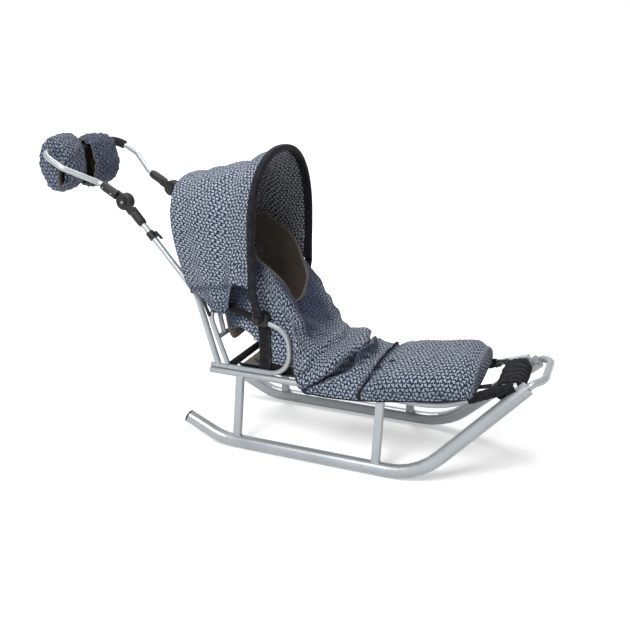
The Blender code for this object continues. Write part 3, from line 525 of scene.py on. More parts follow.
def outwardFaces(piece, fillSides=0):
    # Faces of a closed mesh all turned outwards, after holes of up to fillSides edges are closed
    work = bmesh.new()
    work.from_mesh(piece.data)
    if fillSides:
        openEdges = [edge for edge in work.edges if edge.is_boundary]
        bmesh.ops.holes_fill(work, edges=openEdges, sides=fillSides)
    bmesh.ops.recalc_face_normals(work, faces=work.faces)
    work.to_mesh(piece.data)
    work.free()
    return piece


def rings(middles, first, second, size, angle):
    # A ring round each middle: size times the angle's cosine along first and its sine along second
    return (middles[:, None] + first[:, None] * (size * np.cos(angle))[..., None]
            + second[:, None] * (size * np.sin(angle))[..., None])


def closedRings(name, points, finish, uvs=None):
    # Rings of points joined to one closed mesh with its faces outwards
    faces = gridFaces(*points.shape[:2], True)
    return outwardFaces(merged(buildMesh(name, points.reshape(-1, 3), faces, uvs, materials=[finish])))


def readValues(items, key, size=1, kind=float):
    # One value or vector of each vertex, loop or polygon as an array
    found = np.zeros(len(items) * size, kind)
    items.foreach_get(key, found)
    return found.reshape(-1, size) if size > 1 else found


def facing(piece, inside):
    # Turns all faces over when most of them don't point away from the given inside point
    faces = piece.data.polygons
    centres, normals = readValues(faces, "center", 3), readValues(faces, "normal", 3)
    away = np.sum(normals * (centres - np.array(inside)), axis=1)
    if np.sum(away * readValues(faces, "area")) < 0:
        piece.data.flip_normals()
    return piece


def placed(piece, body="frame", node=None):
    # Hides the part that the piece stands for, where a node is given, and hangs the piece on the body it
    # moves with
    if node:
        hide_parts(node)
    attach(piece, body)
    return piece


def pathFrames(path, reference):
    # Tangent, side and up at each path point; side is the reference made square to the tangent
    tangent = np.gradient(path, axis=0)
    tangent /= np.linalg.norm(tangent, axis=1, keepdims=True)
    side = np.asarray(reference, float) - tangent * (tangent @ np.asarray(reference, float))[:, None]
    side /= np.linalg.norm(side, axis=1, keepdims=True)
    return tangent, side, np.cross(tangent, side)


def carried(name, path, outline, reference, finish, taper=None):
    # The outline, pairs of (side, up), carried along the path, with rounded closed ends
    path, outline = np.asarray(path, float), np.asarray(outline, float)
    size = np.ones(len(path)) if taper is None else np.asarray(taper, float)
    path = np.concatenate([path[:1], path, path[-1:]])
    size = np.concatenate([[0.0], size, [0.0]])
    inner = path[1:-1]
    _, side, up = pathFrames(inner, reference)
    side, up = (np.concatenate([a[:1], a, a[-1:]]) for a in (side, up))
    points = (path[:, None, :] + side[:, None, :] * (outline[None, :, :1] * size[:, None, None])
              + up[:, None, :] * (outline[None, :, 1:] * size[:, None, None]))
    uvs = np.meshgrid(lineLengths(path), lineLengths(outline), indexing="ij")
    return closedRings(name, points, finish, np.stack(uvs, axis=2).reshape(-1, 2))


def ringOutline(radius, count=12):
    # A circle as pairs of radius times cosine and radius times sine
    angle = np.linspace(0, 2 * math.pi, count, endpoint=False)
    return np.stack([radius * np.cos(angle), radius * np.sin(angle)], axis=1)


def bandOutline(halfWidth, halfThick, count=20, power=5.0):
    # Superellipse |a/halfWidth|^power + |b/halfThick|^power = 1
    angle = np.linspace(0, 2 * math.pi, count, endpoint=False)
    reach = (np.abs(np.cos(angle)) ** power + np.abs(np.sin(angle)) ** power) ** (-1 / power)
    return np.stack([halfWidth * reach * np.cos(angle), halfThick * reach * np.sin(angle)], axis=1)


thread = {"length": 0.0042, "gap": 0.0022, "radius": 0.00055}


def stitches(name, path):
    # Short round threads along the path, each a spindle of five rings of six points
    length = thread["length"]
    far = lineLengths(path)
    middles = np.arange(length, far[-1] - length, length + thread["gap"])[:, None]
    along = np.array([-0.5, -0.38, 0.0, 0.38, 0.5])[None, :] * length
    centres = np.stack([np.interp(middles + along, far, path[:, k]) for k in range(3)], axis=2)
    tangent = centres[:, -1] - centres[:, 0]
    tangent /= np.linalg.norm(tangent, axis=1, keepdims=True)
    first = np.cross(tangent, (0.31, 0.53, 0.79))
    first /= np.linalg.norm(first, axis=1, keepdims=True)
    second = np.cross(tangent, first)
    angle = np.linspace(0, 2 * math.pi, 6, endpoint=False)
    size = thread["radius"] * np.array([0.12, 0.85, 1.0, 0.85, 0.12])[None, :, None, None]
    ring = (first[:, None, None, :] * np.cos(angle)[None, None, :, None]
            + second[:, None, None, :] * np.sin(angle)[None, None, :, None])
    points = centres[:, :, None, :] + ring * size
    base = gridFaces(5, 6, True)
    faces = (base[None] + 30 * np.arange(len(points))[:, None, None]).reshape(-1, 4)
    made = outwardFaces(buildMesh(name, points.reshape(-1, 3), faces, materials=[greyThread]), 6)
    return made


# Hood

hood = {
    "rows": 46, "backRows": 30, "columns": 121,
    "share": [0.00, 0.12, 0.35, 0.60, 0.80, 1.00],
    "lowAt": [0.00, 0.10, 0.20, 0.27, 0.40, 0.55, 0.63, 0.70, 0.85, 1.00],
    "low": [0.488, 0.482, 0.468, 0.440, 0.436, 0.444, 0.470, 0.520, 0.534, 0.528],
    "pinchFrom": 0.510, "pinchSlope": 0.20, "pinchX": -0.20, "pinchWidth": 0.006, "pinchDepth": 0.007,
    "puckerDepth": 0.0016, "puckerZ": 0.535, "scallop": 0.004,
    "half": [0.197, 0.203, 0.207, 0.211, 0.214, 0.215],
    "top": [0.826, 0.838, 0.853, 0.868, 0.892, 0.915],
    "rearX": -0.243, "frontX": -0.042, "rearZ": 0.462, "lean": 14.5, "rearShoulder": 0.205,
    "frontShoulder": 0.240, "corner": 0.026, "sag": 0.009, "wrinkle": 0.0026, "thickness": 0.0028,
    "power": 2.3, "flatLength": 0.95, "foldFrom": (-0.235, 0, 0.6), "foldTo": (-0.043, 0, 0.6),
    "inside": (-0.14, 0, 0.62),
}


def hoodArches(share):
    # One arch per share: up from the right foot, over a superellipse top, and down to the left foot.
    # x leans back with height by tan(lean) times what is left of the way to the front.
    half, top = (smoothCurve(hood["share"], hood[key], share)[:, None] for key in ("half", "top"))
    low = smoothCurve(hood["lowAt"], hood["low"], share)[:, None]
    shoulder = hood["rearShoulder"] + (hood["frontShoulder"] - hood["rearShoulder"]) * share[:, None]
    angle = np.linspace(0, math.pi / 2, 60)[None, :]
    power = 2 / hood["power"]
    foot = np.linspace(0, 1, 20)[None, :-1]
    y = np.concatenate([half - 0.010 * (1 - foot) ** 2, half * np.cos(angle) ** power], axis=1)
    z = np.concatenate([low + (top - shoulder - low) * foot,
                        top - shoulder + shoulder * np.sin(angle) ** power], axis=1)
    y = np.concatenate([-y, y[:, -2::-1]], axis=1)
    z = np.concatenate([z, z[:, -2::-1]], axis=1)
    lowX = hood["rearX"] + (hood["frontX"] - hood["rearX"]) * share[:, None]
    lean = np.tan(np.radians(hood["lean"]) * (1 - share[:, None]))
    return evenColumns(np.stack([lowX - (z - hood["rearZ"]) * lean, y, z], axis=2), hood["columns"])


def makeHood():
    # The arches from the rear to the front hoop, moved along their normals by sag, folds and puckers,
    # and a back panel that shrinks from the rear arch to the middle of its lower edge
    share = np.linspace(0, 1, hood["rows"])
    sides = hoodArches(share)
    x, z = sides[..., 0], sides[..., 2]
    # sag between the rear hoop, the middle seam and the front hoop, most on the top
    height = np.clip((z - 0.5) / 0.35, 0, 1)
    sag = hood["sag"] * np.abs(np.sin(2 * math.pi * share))[:, None] * (0.35 + 0.65 * height)
    ease = np.clip(np.minimum(share, 1 - share) * 8, 0, 1)[:, None]
    folds = hood["wrinkle"] * ease * ripples(arcLengths(sides, 1), arcLengths(sides, 0), 5, 0.16)
    pull = 0.004 * ease * hump(z - hood["rearZ"], 0.05) * np.sin(share * 19)[:, None]
    # the side's lower edge is pinched along a line; behind the loop a folded tail hangs below it
    pinch = z - hood["pinchFrom"] - hood["pinchSlope"] * (x - hood["pinchX"])
    behind = smoothStep(-x, 0.095, 0.115)
    pull = pull - hood["pinchDepth"] * hump(pinch, hood["pinchWidth"]) * behind
    tailFolds = 1 + 0.7 * np.sin(150 * (x + 0.5 * z))
    pull = pull - 0.007 * smoothStep(-pinch, 0.0, 0.02) * behind * tailFolds
    puckers = hood["puckerDepth"] * hump(z - hood["puckerZ"], 0.02) * np.sin(210 * x) * ease
    scallops = hood["scallop"] * smoothStep(z, 0.78, 0.84) * np.sin(share * 22 + 1.2)[:, None] * ease
    pull = pull + puckers + scallops
    normal = gridNormals(sides)
    outward = np.sign(np.sum(normal * (sides - np.array([-0.14, 0, 0.6])), axis=2, keepdims=True))
    sides = sides + normal * outward * (folds + pull - sag)[..., None]

    # turn goes from the rear arch, 0, round the corner, up to bend, and on to the middle, 1
    turn = np.linspace(0, 1, hood["backRows"])[1:, None]
    bend, halfBack = 0.18, 0.19
    rear = sides[0]
    middle = np.array([hood["rearX"], 0.0, hood["low"][0]])
    cornered = np.clip(turn / bend, 0, 1)
    rest = np.clip((turn - bend) / (1 - bend), 0, 1)
    shrunk = 1 - hood["corner"] * (1 - np.cos(cornered * math.pi / 2)) / halfBack
    scale = np.where(turn < bend, shrunk, (1 - hood["corner"] / halfBack) * (1 - rest))
    back = hood["corner"] * np.sin(cornered * math.pi / 2) * 0.55 + 0.010 * np.sin(math.pi * rest) ** 0.8
    reach = rear[None, :, :] - middle
    lean = math.tan(math.radians(hood["lean"]))
    y = reach[..., 1] * scale
    z = reach[..., 2] * scale
    offPlane = rear[:, 0] - (middle[0] - (rear[:, 2] - hood["rearZ"]) * lean)
    x = middle[0] - (z + middle[2] - hood["rearZ"]) * lean - back + offPlane[None, :] * (1 - cornered)
    wrinkles = 0.003 * ripples(y, z, 9, 0.14) * np.clip(turn * 5, 0, 1) * np.clip((1 - turn) * 5, 0, 1)
    panel = np.stack([x + wrinkles, y, z + middle[2]], axis=2)
    whole = np.concatenate([panel[::-1], sides])
    # painted shade on the print along the pinched line and, less, on the tail below it behind the loop
    tone = 0.75 * hump(pinch, 1.6 * hood["pinchWidth"]) * behind
    tone = tone + 0.35 * smoothStep(-pinch, 0.02, 0.05) * behind
    tone = np.concatenate([np.zeros(panel.shape[:2]), np.clip(tone, 0, 1)])

    uvs = np.stack([arcLengths(whole, 0), arcLengths(whole, 1)], axis=2)
    uvs[..., 1] -= uvs[:, hood["columns"] // 2, 1][:, None]
    uvs = uvs[..., ::-1]
    faces = gridFaces(*whole.shape[:2])
    made = buildMesh("hoodCloth", whole.reshape(-1, 3), faces, uvs.reshape(-1, 2),
                     tone, materials=[navyPrint, innerPrint, blackTape])
    facing(merged(made, 0.0002), hood["inside"])
    thick = made.modifiers.new("thickness", "SOLIDIFY")
    thick.thickness = hood["thickness"]
    thick.offset = -1.0
    thick.material_offset = 1
    thick.material_offset_rim = 2
    return made, whole


hoodCloth, hoodGrid = makeHood()
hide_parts("hood_fabric")
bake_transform(hoodCloth)
for number, row in enumerate((-5, hood["backRows"] + 1)):
    line = hoodGrid[row] + (hoodGrid[row] - np.array([0, 0, 0.62])) * np.array([0, 0.004, 0.004])
    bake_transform(stitches("hoodStitches" + str(number), line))

binding = {"halfWidth": 0.0088, "halfThick": 0.0062, "farWider": 0.40, "points": 160, "x": -0.030}
bindingPath = evenColumns(hoodArches(np.array([1.0, 1.0]))[:1], binding["points"])[0]
bindingPath[:, 0] = binding["x"]
widening = 1 + binding["farWider"] * smoothStep(bindingPath[:, 1], -0.16, 0.16)
hoodBinding = carried("hoodBinding", bindingPath,
                      bandOutline(binding["halfWidth"], binding["halfThick"], 24, 3.5),
                      (1, 0, 0), blackTape, widening)
placed(hoodBinding, "hood")
print("hood binding made")


# Sack

rail = {"half": 0.155, "level": 0.235, "radius": 0.0105, "bendX": 0.530, "bendRadius": 0.30,
        "rise": 0.080, "run": 0.197, "noseX": 0.727, "noseHalf": 0.117}
sack = {
    "floorColumns": 8, "edgeColumns": 16, "sideColumns": 34, "topColumns": 32, "overRail": 0.01485,
    "rowsAt": [-0.118, 0.085, 0.340, 0.602], "rowSteps": [56, 112, 62], "thickness": 0.0040,
    "x": [-0.118, -0.060, -0.020, 0.005, 0.036, 0.070, 0.090, 0.108, 0.128, 0.160, 0.200, 0.230, 0.262,
          0.300, 0.322, 0.352, 0.400, 0.460, 0.545, 0.584, 0.602],
    "top": [0.716, 0.704, 0.640, 0.560, 0.498, 0.446, 0.402, 0.372, 0.358, 0.351, 0.341, 0.322, 0.309,
            0.301, 0.300, 0.316, 0.331, 0.343, 0.362, 0.364, 0.352],
    "half": [0.140, 0.140, 0.140, 0.141, 0.142, 0.146, 0.1760, 0.1790, 0.1800, 0.1800, 0.1800, 0.1795,
             0.1790, 0.1785, 0.1780, 0.1785, 0.1780, 0.1775, 0.1740, 0.1660, 0.1620],
    "shoulder": [0.05, 0.05, 0.06, 0.06, 0.055, 0.055, 0.058, 0.066, 0.070, 0.074, 0.070, 0.062, 0.052,
                 0.045, 0.043, 0.054, 0.064, 0.072, 0.080, 0.080, 0.072],
    "power": [2.6, 2.6, 2.8, 3.2, 3.4, 3.4, 3.0, 2.6] + [2.4] * 11 + [2.3, 2.2],
    "lean": [1.0, 0.80, 0.38, 0.15] + [0.0] * 17,
    "recline": 11.9, "leanZ": 0.25, "corner": 0.018,
    "lipX": [0.088, 0.096, 0.110, 0.150, 0.230, 0.336, 0.410, 0.527, 0.600, 0.632],
    "lipZ": [0.2499, 0.238, 0.220, 0.214, 0.214, 0.224, 0.236, 0.256, 0.268, 0.275],
    "lipFrom": 0.070, "lipTo": 0.088, "lipThick": 0.009, "lipBend": 0.006,
    "mouthLow": 0.440, "mouthHigh": 0.630, "mouthHalf": 0.1345, "mouthRound": 0.035,
    "capRows": 18, "capTurn": 0.35, "capRound": 0.014, "capBulge": 0.012, "rimRadius": 0.0042,
    "hip": [(-0.034, 0.264), (-0.034, 0.335), (-0.108, 0.387), (-0.215, 0.334), (-0.215, 0.264)],
}


def railHeight(x):
    # Height of the rails' axis: level, then a round bend up to the slope of the nose
    slope, radius = rail["rise"] / rail["run"], rail["bendRadius"]
    startX = rail["bendX"] - radius * math.tan(math.atan2(rail["rise"], rail["run"]) / 2)
    endX = startX + radius * math.sin(math.atan(slope))
    fromStart = np.clip(x, startX, endX) - startX
    bend = rail["level"] + radius - np.sqrt(np.maximum(radius ** 2 - fromStart ** 2, 0))
    return bend + np.maximum(x - endX, 0) * slope


def railPoint(x, side):
    # The rails' axis: straight ahead, then drawing in towards the nose
    drawnIn = np.maximum(x - rail["bendX"], 0) * (rail["half"] - rail["noseHalf"])
    y = rail["half"] - drawnIn / (rail["noseX"] - rail["bendX"])
    return np.stack([x, side * y, railHeight(x)], axis=1)


def sackRows():
    # x of each section, closer together where the cloth folds most
    ends, steps = sack["rowsAt"], sack["rowSteps"]
    runs = [np.linspace(a, b, count, endpoint=False) for a, b, count in zip(ends, ends[1:], steps)]
    return np.concatenate(runs + [ends[-1:]])


def sackEdge(half, low, lip, lipped):
    # Bottom edge of a section. Plain: a quarter round. Lipped: over the rail, down its outside, and
    # round the lip's lower edge. lipped goes from 0 to 1 between the two.
    step = np.linspace(0, 1, sack["edgeColumns"])[None, :]
    corner, radius = sack["corner"], sack["lipThick"] / 2
    plainY = half - corner + corner * np.sin(step * math.pi / 2)
    plainZ = low + corner - corner * np.cos(step * math.pi / 2)
    inner, bend = half - 2 * radius, np.minimum(low - lip, sack["lipBend"])
    over = np.clip(step / 0.25, 0, 1) * math.pi / 2
    down = np.clip((step - 0.25) / 0.25, 0, 1)
    around = math.pi * (1 + np.clip((step - 0.5) / 0.5, 0, 1))
    foot = np.minimum(lip + radius, low - bend)
    lipY = np.where(step < 0.25, inner - sack["lipBend"] * (1 - np.sin(over)),
                    np.where(step < 0.5, inner, inner + radius * (1 + np.cos(around))))
    turned = lip + radius + radius * np.sin(around)
    turned = np.where(around < 1.5 * math.pi, np.minimum(turned, low - bend), turned)
    lipZ = np.where(step < 0.25, low - bend * (1 - np.cos(over)),
                    np.where(step < 0.5, low - bend + (foot - low + bend) * down, turned))
    return plainY + (lipY - plainY) * lipped, plainZ + (lipZ - plainZ) * lipped


def sackSections(x):
    # Right half of each section: floor from the middle, bottom edge, side, superellipse top
    low = (railHeight(x) + sack["overRail"])[:, None]
    lip = np.minimum(low, smoothCurve(sack["lipX"], sack["lipZ"], x)[:, None])
    top, half, shoulder, power, lean = (smoothCurve(sack["x"], sack[key], x)[:, None]
                                        for key in ("top", "half", "shoulder", "power", "lean"))
    edgeY, edgeZ = sackEdge(half, low, lip, smoothStep(x, sack["lipFrom"], sack["lipTo"])[:, None])
    shoulder = np.minimum(shoulder, top - edgeZ[:, -1:] - 0.004)
    floor = np.linspace(0, 1, sack["floorColumns"])[None, :-1]
    side = np.linspace(0, 1, sack["sideColumns"] + 1)[None, 1:-1]
    angle = np.linspace(0, math.pi / 2, 90)[None, :]
    y = np.concatenate([edgeY[:, :1] * floor, edgeY, half + 0 * side,
                        half * np.cos(angle) ** (2 / power)], axis=1)
    z = np.concatenate([low + 0 * floor, edgeZ, edgeZ[:, -1:] + (top - shoulder - edgeZ[:, -1:]) * side,
                        top - shoulder + shoulder * np.sin(angle) ** (2 / power)], axis=1)
    slope = math.tan(math.radians(sack["recline"])) * lean
    return np.stack([x[:, None] - (z - sack["leanZ"]) * slope, -y, z], axis=2)


def mouthDepth(points):
    # Above 0 inside the opening: a V with a rounded tip between two upright side lines
    y = np.abs(points[..., 1])
    rise = (sack["mouthHigh"] - sack["mouthLow"]) / sack["mouthHalf"]
    edge = sack["mouthLow"] + np.sqrt((rise * y) ** 2 + sack["mouthRound"] ** 2) - sack["mouthRound"]
    return np.minimum(sack["mouthHalf"] - y, points[..., 2] - edge)


topFrom = sack["floorColumns"] - 1 + sack["edgeColumns"] + sack["sideColumns"] - 1


def sackHalf(x):
    # Sections whose top part ends at the middle or at the mouth, and how far each point is from the middle
    lines = sackSections(x)
    tops = lines[:, topFrom:]
    depth = mouthDepth(tops)
    inside = depth > 0
    opened = inside.any(axis=1)
    cut = np.where(opened, inside.argmax(axis=1), tops.shape[1] - 1)
    length = arcLengths(tops, 1)
    index = np.arange(len(x))
    before = np.maximum(cut - 1, 0)
    rise = np.maximum(depth[index, cut] - depth[index, before], 1e-9)
    share = np.where(opened, -depth[index, before] / rise, 1.0)
    reach = length[index, before] + (length[index, cut] - length[index, before]) * share
    steps = np.linspace(0, 1, sack["topColumns"])[None, :] * reach[:, None]
    tops = np.stack([np.stack([np.interp(step, row, line[:, k]) for k in range(3)], axis=1)
                     for step, row, line in zip(steps, length, tops)])
    return np.concatenate([lines[:, :topFrom], tops], axis=1), opened, steps - length[:, -1:]


def creaseX(y, z):
    # The lap crease runs from far back at the bottom edge forward and up, then across the top
    across = np.clip(1 - np.abs(y) / 0.17, 0, 1)
    return 0.119 + 0.088 * np.clip((z - 0.232) / 0.066, 0, 1) + 0.046 * across ** 0.8


def seamX(z):
    # The seam in front of the knees leans forward up the sides
    return 0.288 + 0.026 * np.clip((z - 0.240) / 0.055, 0, 1)


def creaseWidth(z):
    # The crease is narrow at the bottom edge and wider over the top
    return 0.0065 + 0.0085 * smoothStep(z, 0.245, 0.30)


def sackFolds(x, y, z):
    # Height of the cloth over its plain form: a deep crease with a full lip behind it, a lit patch
    # before the knee seam, a valley and a ridge down the chest, softer folds and fine wrinkles
    away = x - creaseX(y, z)
    strength = 0.55 + 0.45 * smoothStep(-y, -0.12, 0.02)
    wide = creaseWidth(z)
    lap = (-0.036 * hump(away - wide * 0.8, wide) + 0.016 * hump(away + 0.022, 0.015)
           - 0.010 * hump(away + 0.066, 0.010) + 0.006 * hump(away + 0.090, 0.016)
           + 0.007 * hump(away - 0.026, 0.018))
    seam = -0.010 * hump(x - seamX(z), 0.0065) + 0.005 * hump(x - seamX(z) - 0.030, 0.020)
    fan = 0.0045 * np.sin(105 * (x + 0.5 * np.abs(y) - 0.35 * z) + 2.2) * hump(x - 0.085, 0.035)
    fan = fan * (np.abs(y) > 0.10)
    chest = 0.004 * hump(x - 0.070, 0.050) * smoothStep(z, 0.34, 0.38) * np.sin(95 * y + 14 * z)
    dent = 0.006 * hump(x + 0.6 * z - 0.70, 0.010) * smoothStep(-y, 0.0, 0.04)
    foot = 0.006 * hump(x - 0.43, 0.05) * hump(z - 0.30, 0.03) - dent
    soft = 0.0040 * ripples(x, y + 0.6 * z, 21, 0.12) + 0.0022 * ripples(x + z, y, 31, 0.05)
    return lap * strength + seam + fan + chest + foot + soft * np.clip((0.62 - x) / 0.06, 0.25, 1)


def folded(points, opened):
    # Points pushed out along their normals by the folds, and the painted shade of each in the crease and at
    # the seam; near the rails the cloth can't sink in far
    normal = gridNormals(points)
    centre = np.stack([points[..., 0], 0 * points[..., 1], 0 * points[..., 2] + 0.32], axis=2)
    normal = normal * np.sign(np.sum(normal * (points - centre), axis=2, keepdims=True))
    normal[~opened, -1, 1] = 0
    x, y, z = points[..., 0], points[..., 1], points[..., 2]
    height = sackFolds(x, y, z)
    sink = 0.007 + 0.9 * np.clip(z - 0.250, 0, 0.04)
    bottom = sack["floorColumns"] - 1 + sack["edgeColumns"]
    rise = smoothStep(np.arange(points.shape[1]), bottom - 1, bottom + 5)[None, :]
    points = points + normal * (np.maximum(height, -sink) * rise)[..., None]
    # the lip hangs forward over the crease, and the chest falls back between its two edges
    points[..., 0] += 0.011 * hump(x - creaseX(y, z) + 0.012, 0.010) * rise * smoothStep(z, 0.235, 0.27)
    dip = 1 - np.where(y > 0, smoothStep(y, 0.0, 0.075), smoothStep(-y, 0.010, 0.100))
    dip = dip * smoothStep(z, 0.352, 0.435) * smoothStep(x, -0.02, 0.03)
    ridge = 0.012 * hump(y - 0.112, 0.022) * smoothStep(z, 0.345, 0.38) * smoothStep(x, 0.0, 0.04)
    points[..., 0] += ridge - 0.055 * dip
    wide = creaseWidth(z)
    # painted shade: dark in the lap crease and along the knee seam
    dark = np.maximum(hump(x - creaseX(y, z) - wide, wide * 0.9), hump(x - seamX(z), 0.0085))
    return points, dark * rise * smoothStep(z, 0.225, 0.245)


def toeCap(last):
    # The last section rounds over forwards and shrinks to its middle
    turn = np.linspace(0, 1, sack["capRows"])[1:, None]
    first = np.clip(turn / sack["capTurn"], 0, 1) * math.pi / 2
    rest = np.clip((turn - sack["capTurn"]) / (1 - sack["capTurn"]), 0, 1)
    scale = (1 - 0.16 * (1 - np.cos(first))) * (1 - rest)
    middle = 0.5 * (last[:, 2].min() + last[:, 2].max()) + 0.006
    ahead = sack["capRound"] * np.sin(first) + sack["capBulge"] * np.sin(rest * math.pi / 2)
    return np.stack([last[None, :, 0] + ahead, last[None, :, 1] * scale,
                     middle + (last[None, :, 2] - middle) * scale], axis=2)


def sackUvs(points, across):
    # Two maps: the sides in x and z, and the top along its profile and across from the middle line
    bottom = sack["floorColumns"] - 1 + sack["edgeColumns"] - 1
    around = arcLengths(points, 1)
    floorHeight = points[:, bottom, 2][:, None] + around - around[:, bottom][:, None]
    height = np.where(np.arange(points.shape[1])[None, :] < bottom, floorHeight, points[..., 2])
    side = np.stack([points[..., 0], height], axis=2)
    along = lineLengths(points[:, topFrom + 2])
    top = np.stack([along[:, None] + 0 * around, np.zeros_like(around)], axis=2)
    top[:, topFrom:, 1] = across
    top[:, :topFrom, 1] = across[:, :1] - (around[:, topFrom][:, None] - around[:, :topFrom])
    return side, top


def openedSides(corners, faces):
    # Faces inside the hip outline go, and the points left along it are drawn onto the outline
    outline = np.array(sack["hip"])
    share = np.linspace(0, 1, 60, endpoint=False)[:, None]
    curve = np.concatenate([a + (b - a) * share for a, b in zip(outline, np.roll(outline, -1, axis=0))])
    for _ in range(40):
        curve = 0.25 * np.roll(curve, 1, axis=0) + 0.5 * curve + 0.25 * np.roll(curve, -1, axis=0)
    place = corners[:, (0, 2)]
    near = np.flatnonzero((np.abs(corners[:, 1]) > 0.11) & (place[:, 0] < 0.0) & (place[:, 1] < 0.41))
    following = np.roll(curve, -1, axis=0)
    x, z = place[near, 0][:, None], place[near, 1][:, None]
    crosses = (curve[:, 1] > z) != (following[:, 1] > z)
    run = np.where(following[:, 1] == curve[:, 1], 1e-12, following[:, 1] - curve[:, 1])
    meets = curve[:, 0] + (z - curve[:, 1]) / run * (following[:, 0] - curve[:, 0])
    inside = np.zeros(len(corners))
    inside[near] = np.sum(crosses & (x < meets), axis=1) % 2
    dropped = inside[faces].mean(axis=1) > 0.5
    on = np.intersect1d(faces[dropped].ravel(), faces[~dropped].ravel())
    gap = ((place[on][:, None, :] - curve[None, :, :]) ** 2).sum(axis=2)
    corners[on[:, None], (0, 2)] = curve[gap.argmin(axis=1)]
    return corners, ~dropped


def sackPaintedShade(corners, foldShades):
    # Painted shade: the panel down the chest, the cloth under the hood, the folds and the lower foot side are
    # darkened
    x, y, z = corners.T
    # painted light: a strip on the far side, facing the light, keeps its print bright
    litStrip = smoothStep(y, 0.055, 0.110) * smoothStep(-z, -0.52, -0.42)
    # painted shade on the chest panel that faces away from the light
    front = smoothStep(y, -0.130, -0.100) * (1 - litStrip) * smoothStep(x, -0.03, 0.0)
    front = front * smoothStep(z, 0.335, 0.385) * smoothStep(-x, -0.160, -0.130)
    # painted shade on the lower side of the foot part
    footBottomShade = 0.3 * smoothStep(-z, -0.32, -0.27) * smoothStep(x, 0.30, 0.34)
    # painted shade on the high cloth under the hood
    shadeUnderHood = smoothStep(z, 0.58, 0.64) * (x < 0.03)
    # painted shade where the hood's shadow falls on the side, behind a slanted line
    low = 0.9 * smoothStep(-0.045 + 0.47 * (z - 0.505) - x, 0.0, 0.03)
    return np.clip(np.maximum.reduce([shadeUnderHood, front, foldShades, footBottomShade, low]), 0, 1)


def lineSack(made):
    # The lining is thin under the crease, at the seam, in the toe and in a hollow of the near side,
    # where it would come through the cloth; there it is also dark, painted shade where it shows through
    thick = made.modifiers.new("thickness", "SOLIDIFY")
    thick.thickness = sack["thickness"]
    thick.offset = -1.0
    thick.material_offset = 1
    thick.material_offset_rim = 2
    x, y, z = readValues(made.data.vertices, "co", 3).T
    thin = (np.abs(x - creaseX(y, z)) < 0.040) | (x > 0.54) | (np.abs(x - seamX(z)) < 0.015)
    thin = thin | ((np.hypot(x - 0.068, z - 0.397) < 0.035) & (y < -0.10))
    lining = made.vertex_groups.new(name="lining")
    lining.add(np.flatnonzero(~thin).tolist(), 1.0, "REPLACE")
    lining.add(np.flatnonzero(thin).tolist(), 0.1, "REPLACE")
    thick.vertex_group = "lining"
    corner = readValues(made.data.loops, "vertex_index", 1, int)
    first = readValues(made.data.polygons, "loop_start", 1, int)
    number = readValues(made.data.polygons, "material_index", 1, int)
    number[thin[corner[first]] & (number == 0)] = 4
    made.data.polygons.foreach_set("material_index", number)


def makeSack():
    # Both halves: sections along x, folded, closed by the toe cap, with the hips cut open
    x = sackRows()
    right, opened, across = sackHalf(x)
    parts, faces, uvs, slots, rims, foldShades, start = [], [], [], [], [], [], 0
    for sign in (1, -1):
        points, dark = folded(right * np.array([1, sign, 1]), opened)
        points[~opened, -1, 1] = 0
        points[:, 0, 1] = 0
        points = np.concatenate([points, toeCap(points[-1])])
        far = np.concatenate([across, np.tile(across[-1], (len(points) - len(across), 1))])
        side, top = sackUvs(points, far)
        side, top = side * np.array([1, sign]), top * np.array([1, sign])
        grid = gridFaces(*points.shape[:2])
        row, column = grid[:, 0] // points.shape[1], grid[:, 0] % points.shape[1]
        onTop = (column >= topFrom)[:, None, None]
        chosen = np.where(onTop, top.reshape(-1, 2)[grid], side.reshape(-1, 2)[grid])
        # the flat end of the toe has the pattern straight on, carried down from the top's middle line
        flat = len(right) + round(sack["capTurn"] * (sack["capRows"] - 1))
        ahead = np.stack([top[flat, -1, 0] + points[flat, -1, 2] - points[..., 2], points[..., 1]], axis=2)
        chosen = np.where((row >= flat)[:, None, None], ahead.reshape(-1, 2)[grid], chosen)
        hem = (column >= sack["floorColumns"] + 5) & (column < sack["floorColumns"] + sack["edgeColumns"])
        slots.append(np.where(hem, 2, 0))
        faces.append((grid if sign > 0 else grid[:, ::-1]) + start)
        uvs.append(chosen if sign > 0 else chosen[:, ::-1])
        parts.append(points)
        foldShades.append(np.concatenate([dark.ravel(), np.zeros((len(points) - len(dark)) * points.shape[1])]))
        rims.append(points[:len(opened)][opened, -1])
        start += points.shape[0] * points.shape[1]
    corners = np.concatenate([p.reshape(-1, 3) for p in parts])
    corners, kept = openedSides(corners, np.concatenate(faces))
    made = buildMesh("legSack", corners, np.concatenate(faces)[kept], np.concatenate(uvs)[kept],
                     sackPaintedShade(corners, np.concatenate(foldShades)), np.concatenate(slots)[kept],
                     materials=[navyPrint, brownFleece, blackTape, brownFleece, navyPrint, blackTape])
    facing(merged(made, 0.0001), (0.2, 0, 0.3))
    lineSack(made)
    return made, np.concatenate([rims[0], rims[1][::-1]]), parts


legSack, rimLine, sackGrids = makeSack()
placed(legSack, "frame", "leg_sack")
print("sack made,", len(legSack.data.polygons), "faces")

rimPath = smoothed(evenColumns(rimLine[None], 150)[0], 4) - np.array([0.0, 0.0, 0.002])
placed(carried("sackRim", rimPath, ringOutline(sack["rimRadius"], 10), (0, 1, 0), paleRim))


# Piping and tab on the sack

piping = {"radius": 0.0035, "stitchesFrom": 0.013}
tab = {"from": 0.304, "to": 0.366, "y": -0.096, "halfWidth": 0.0042, "halfThick": 0.0010, "lift": 0.0035}


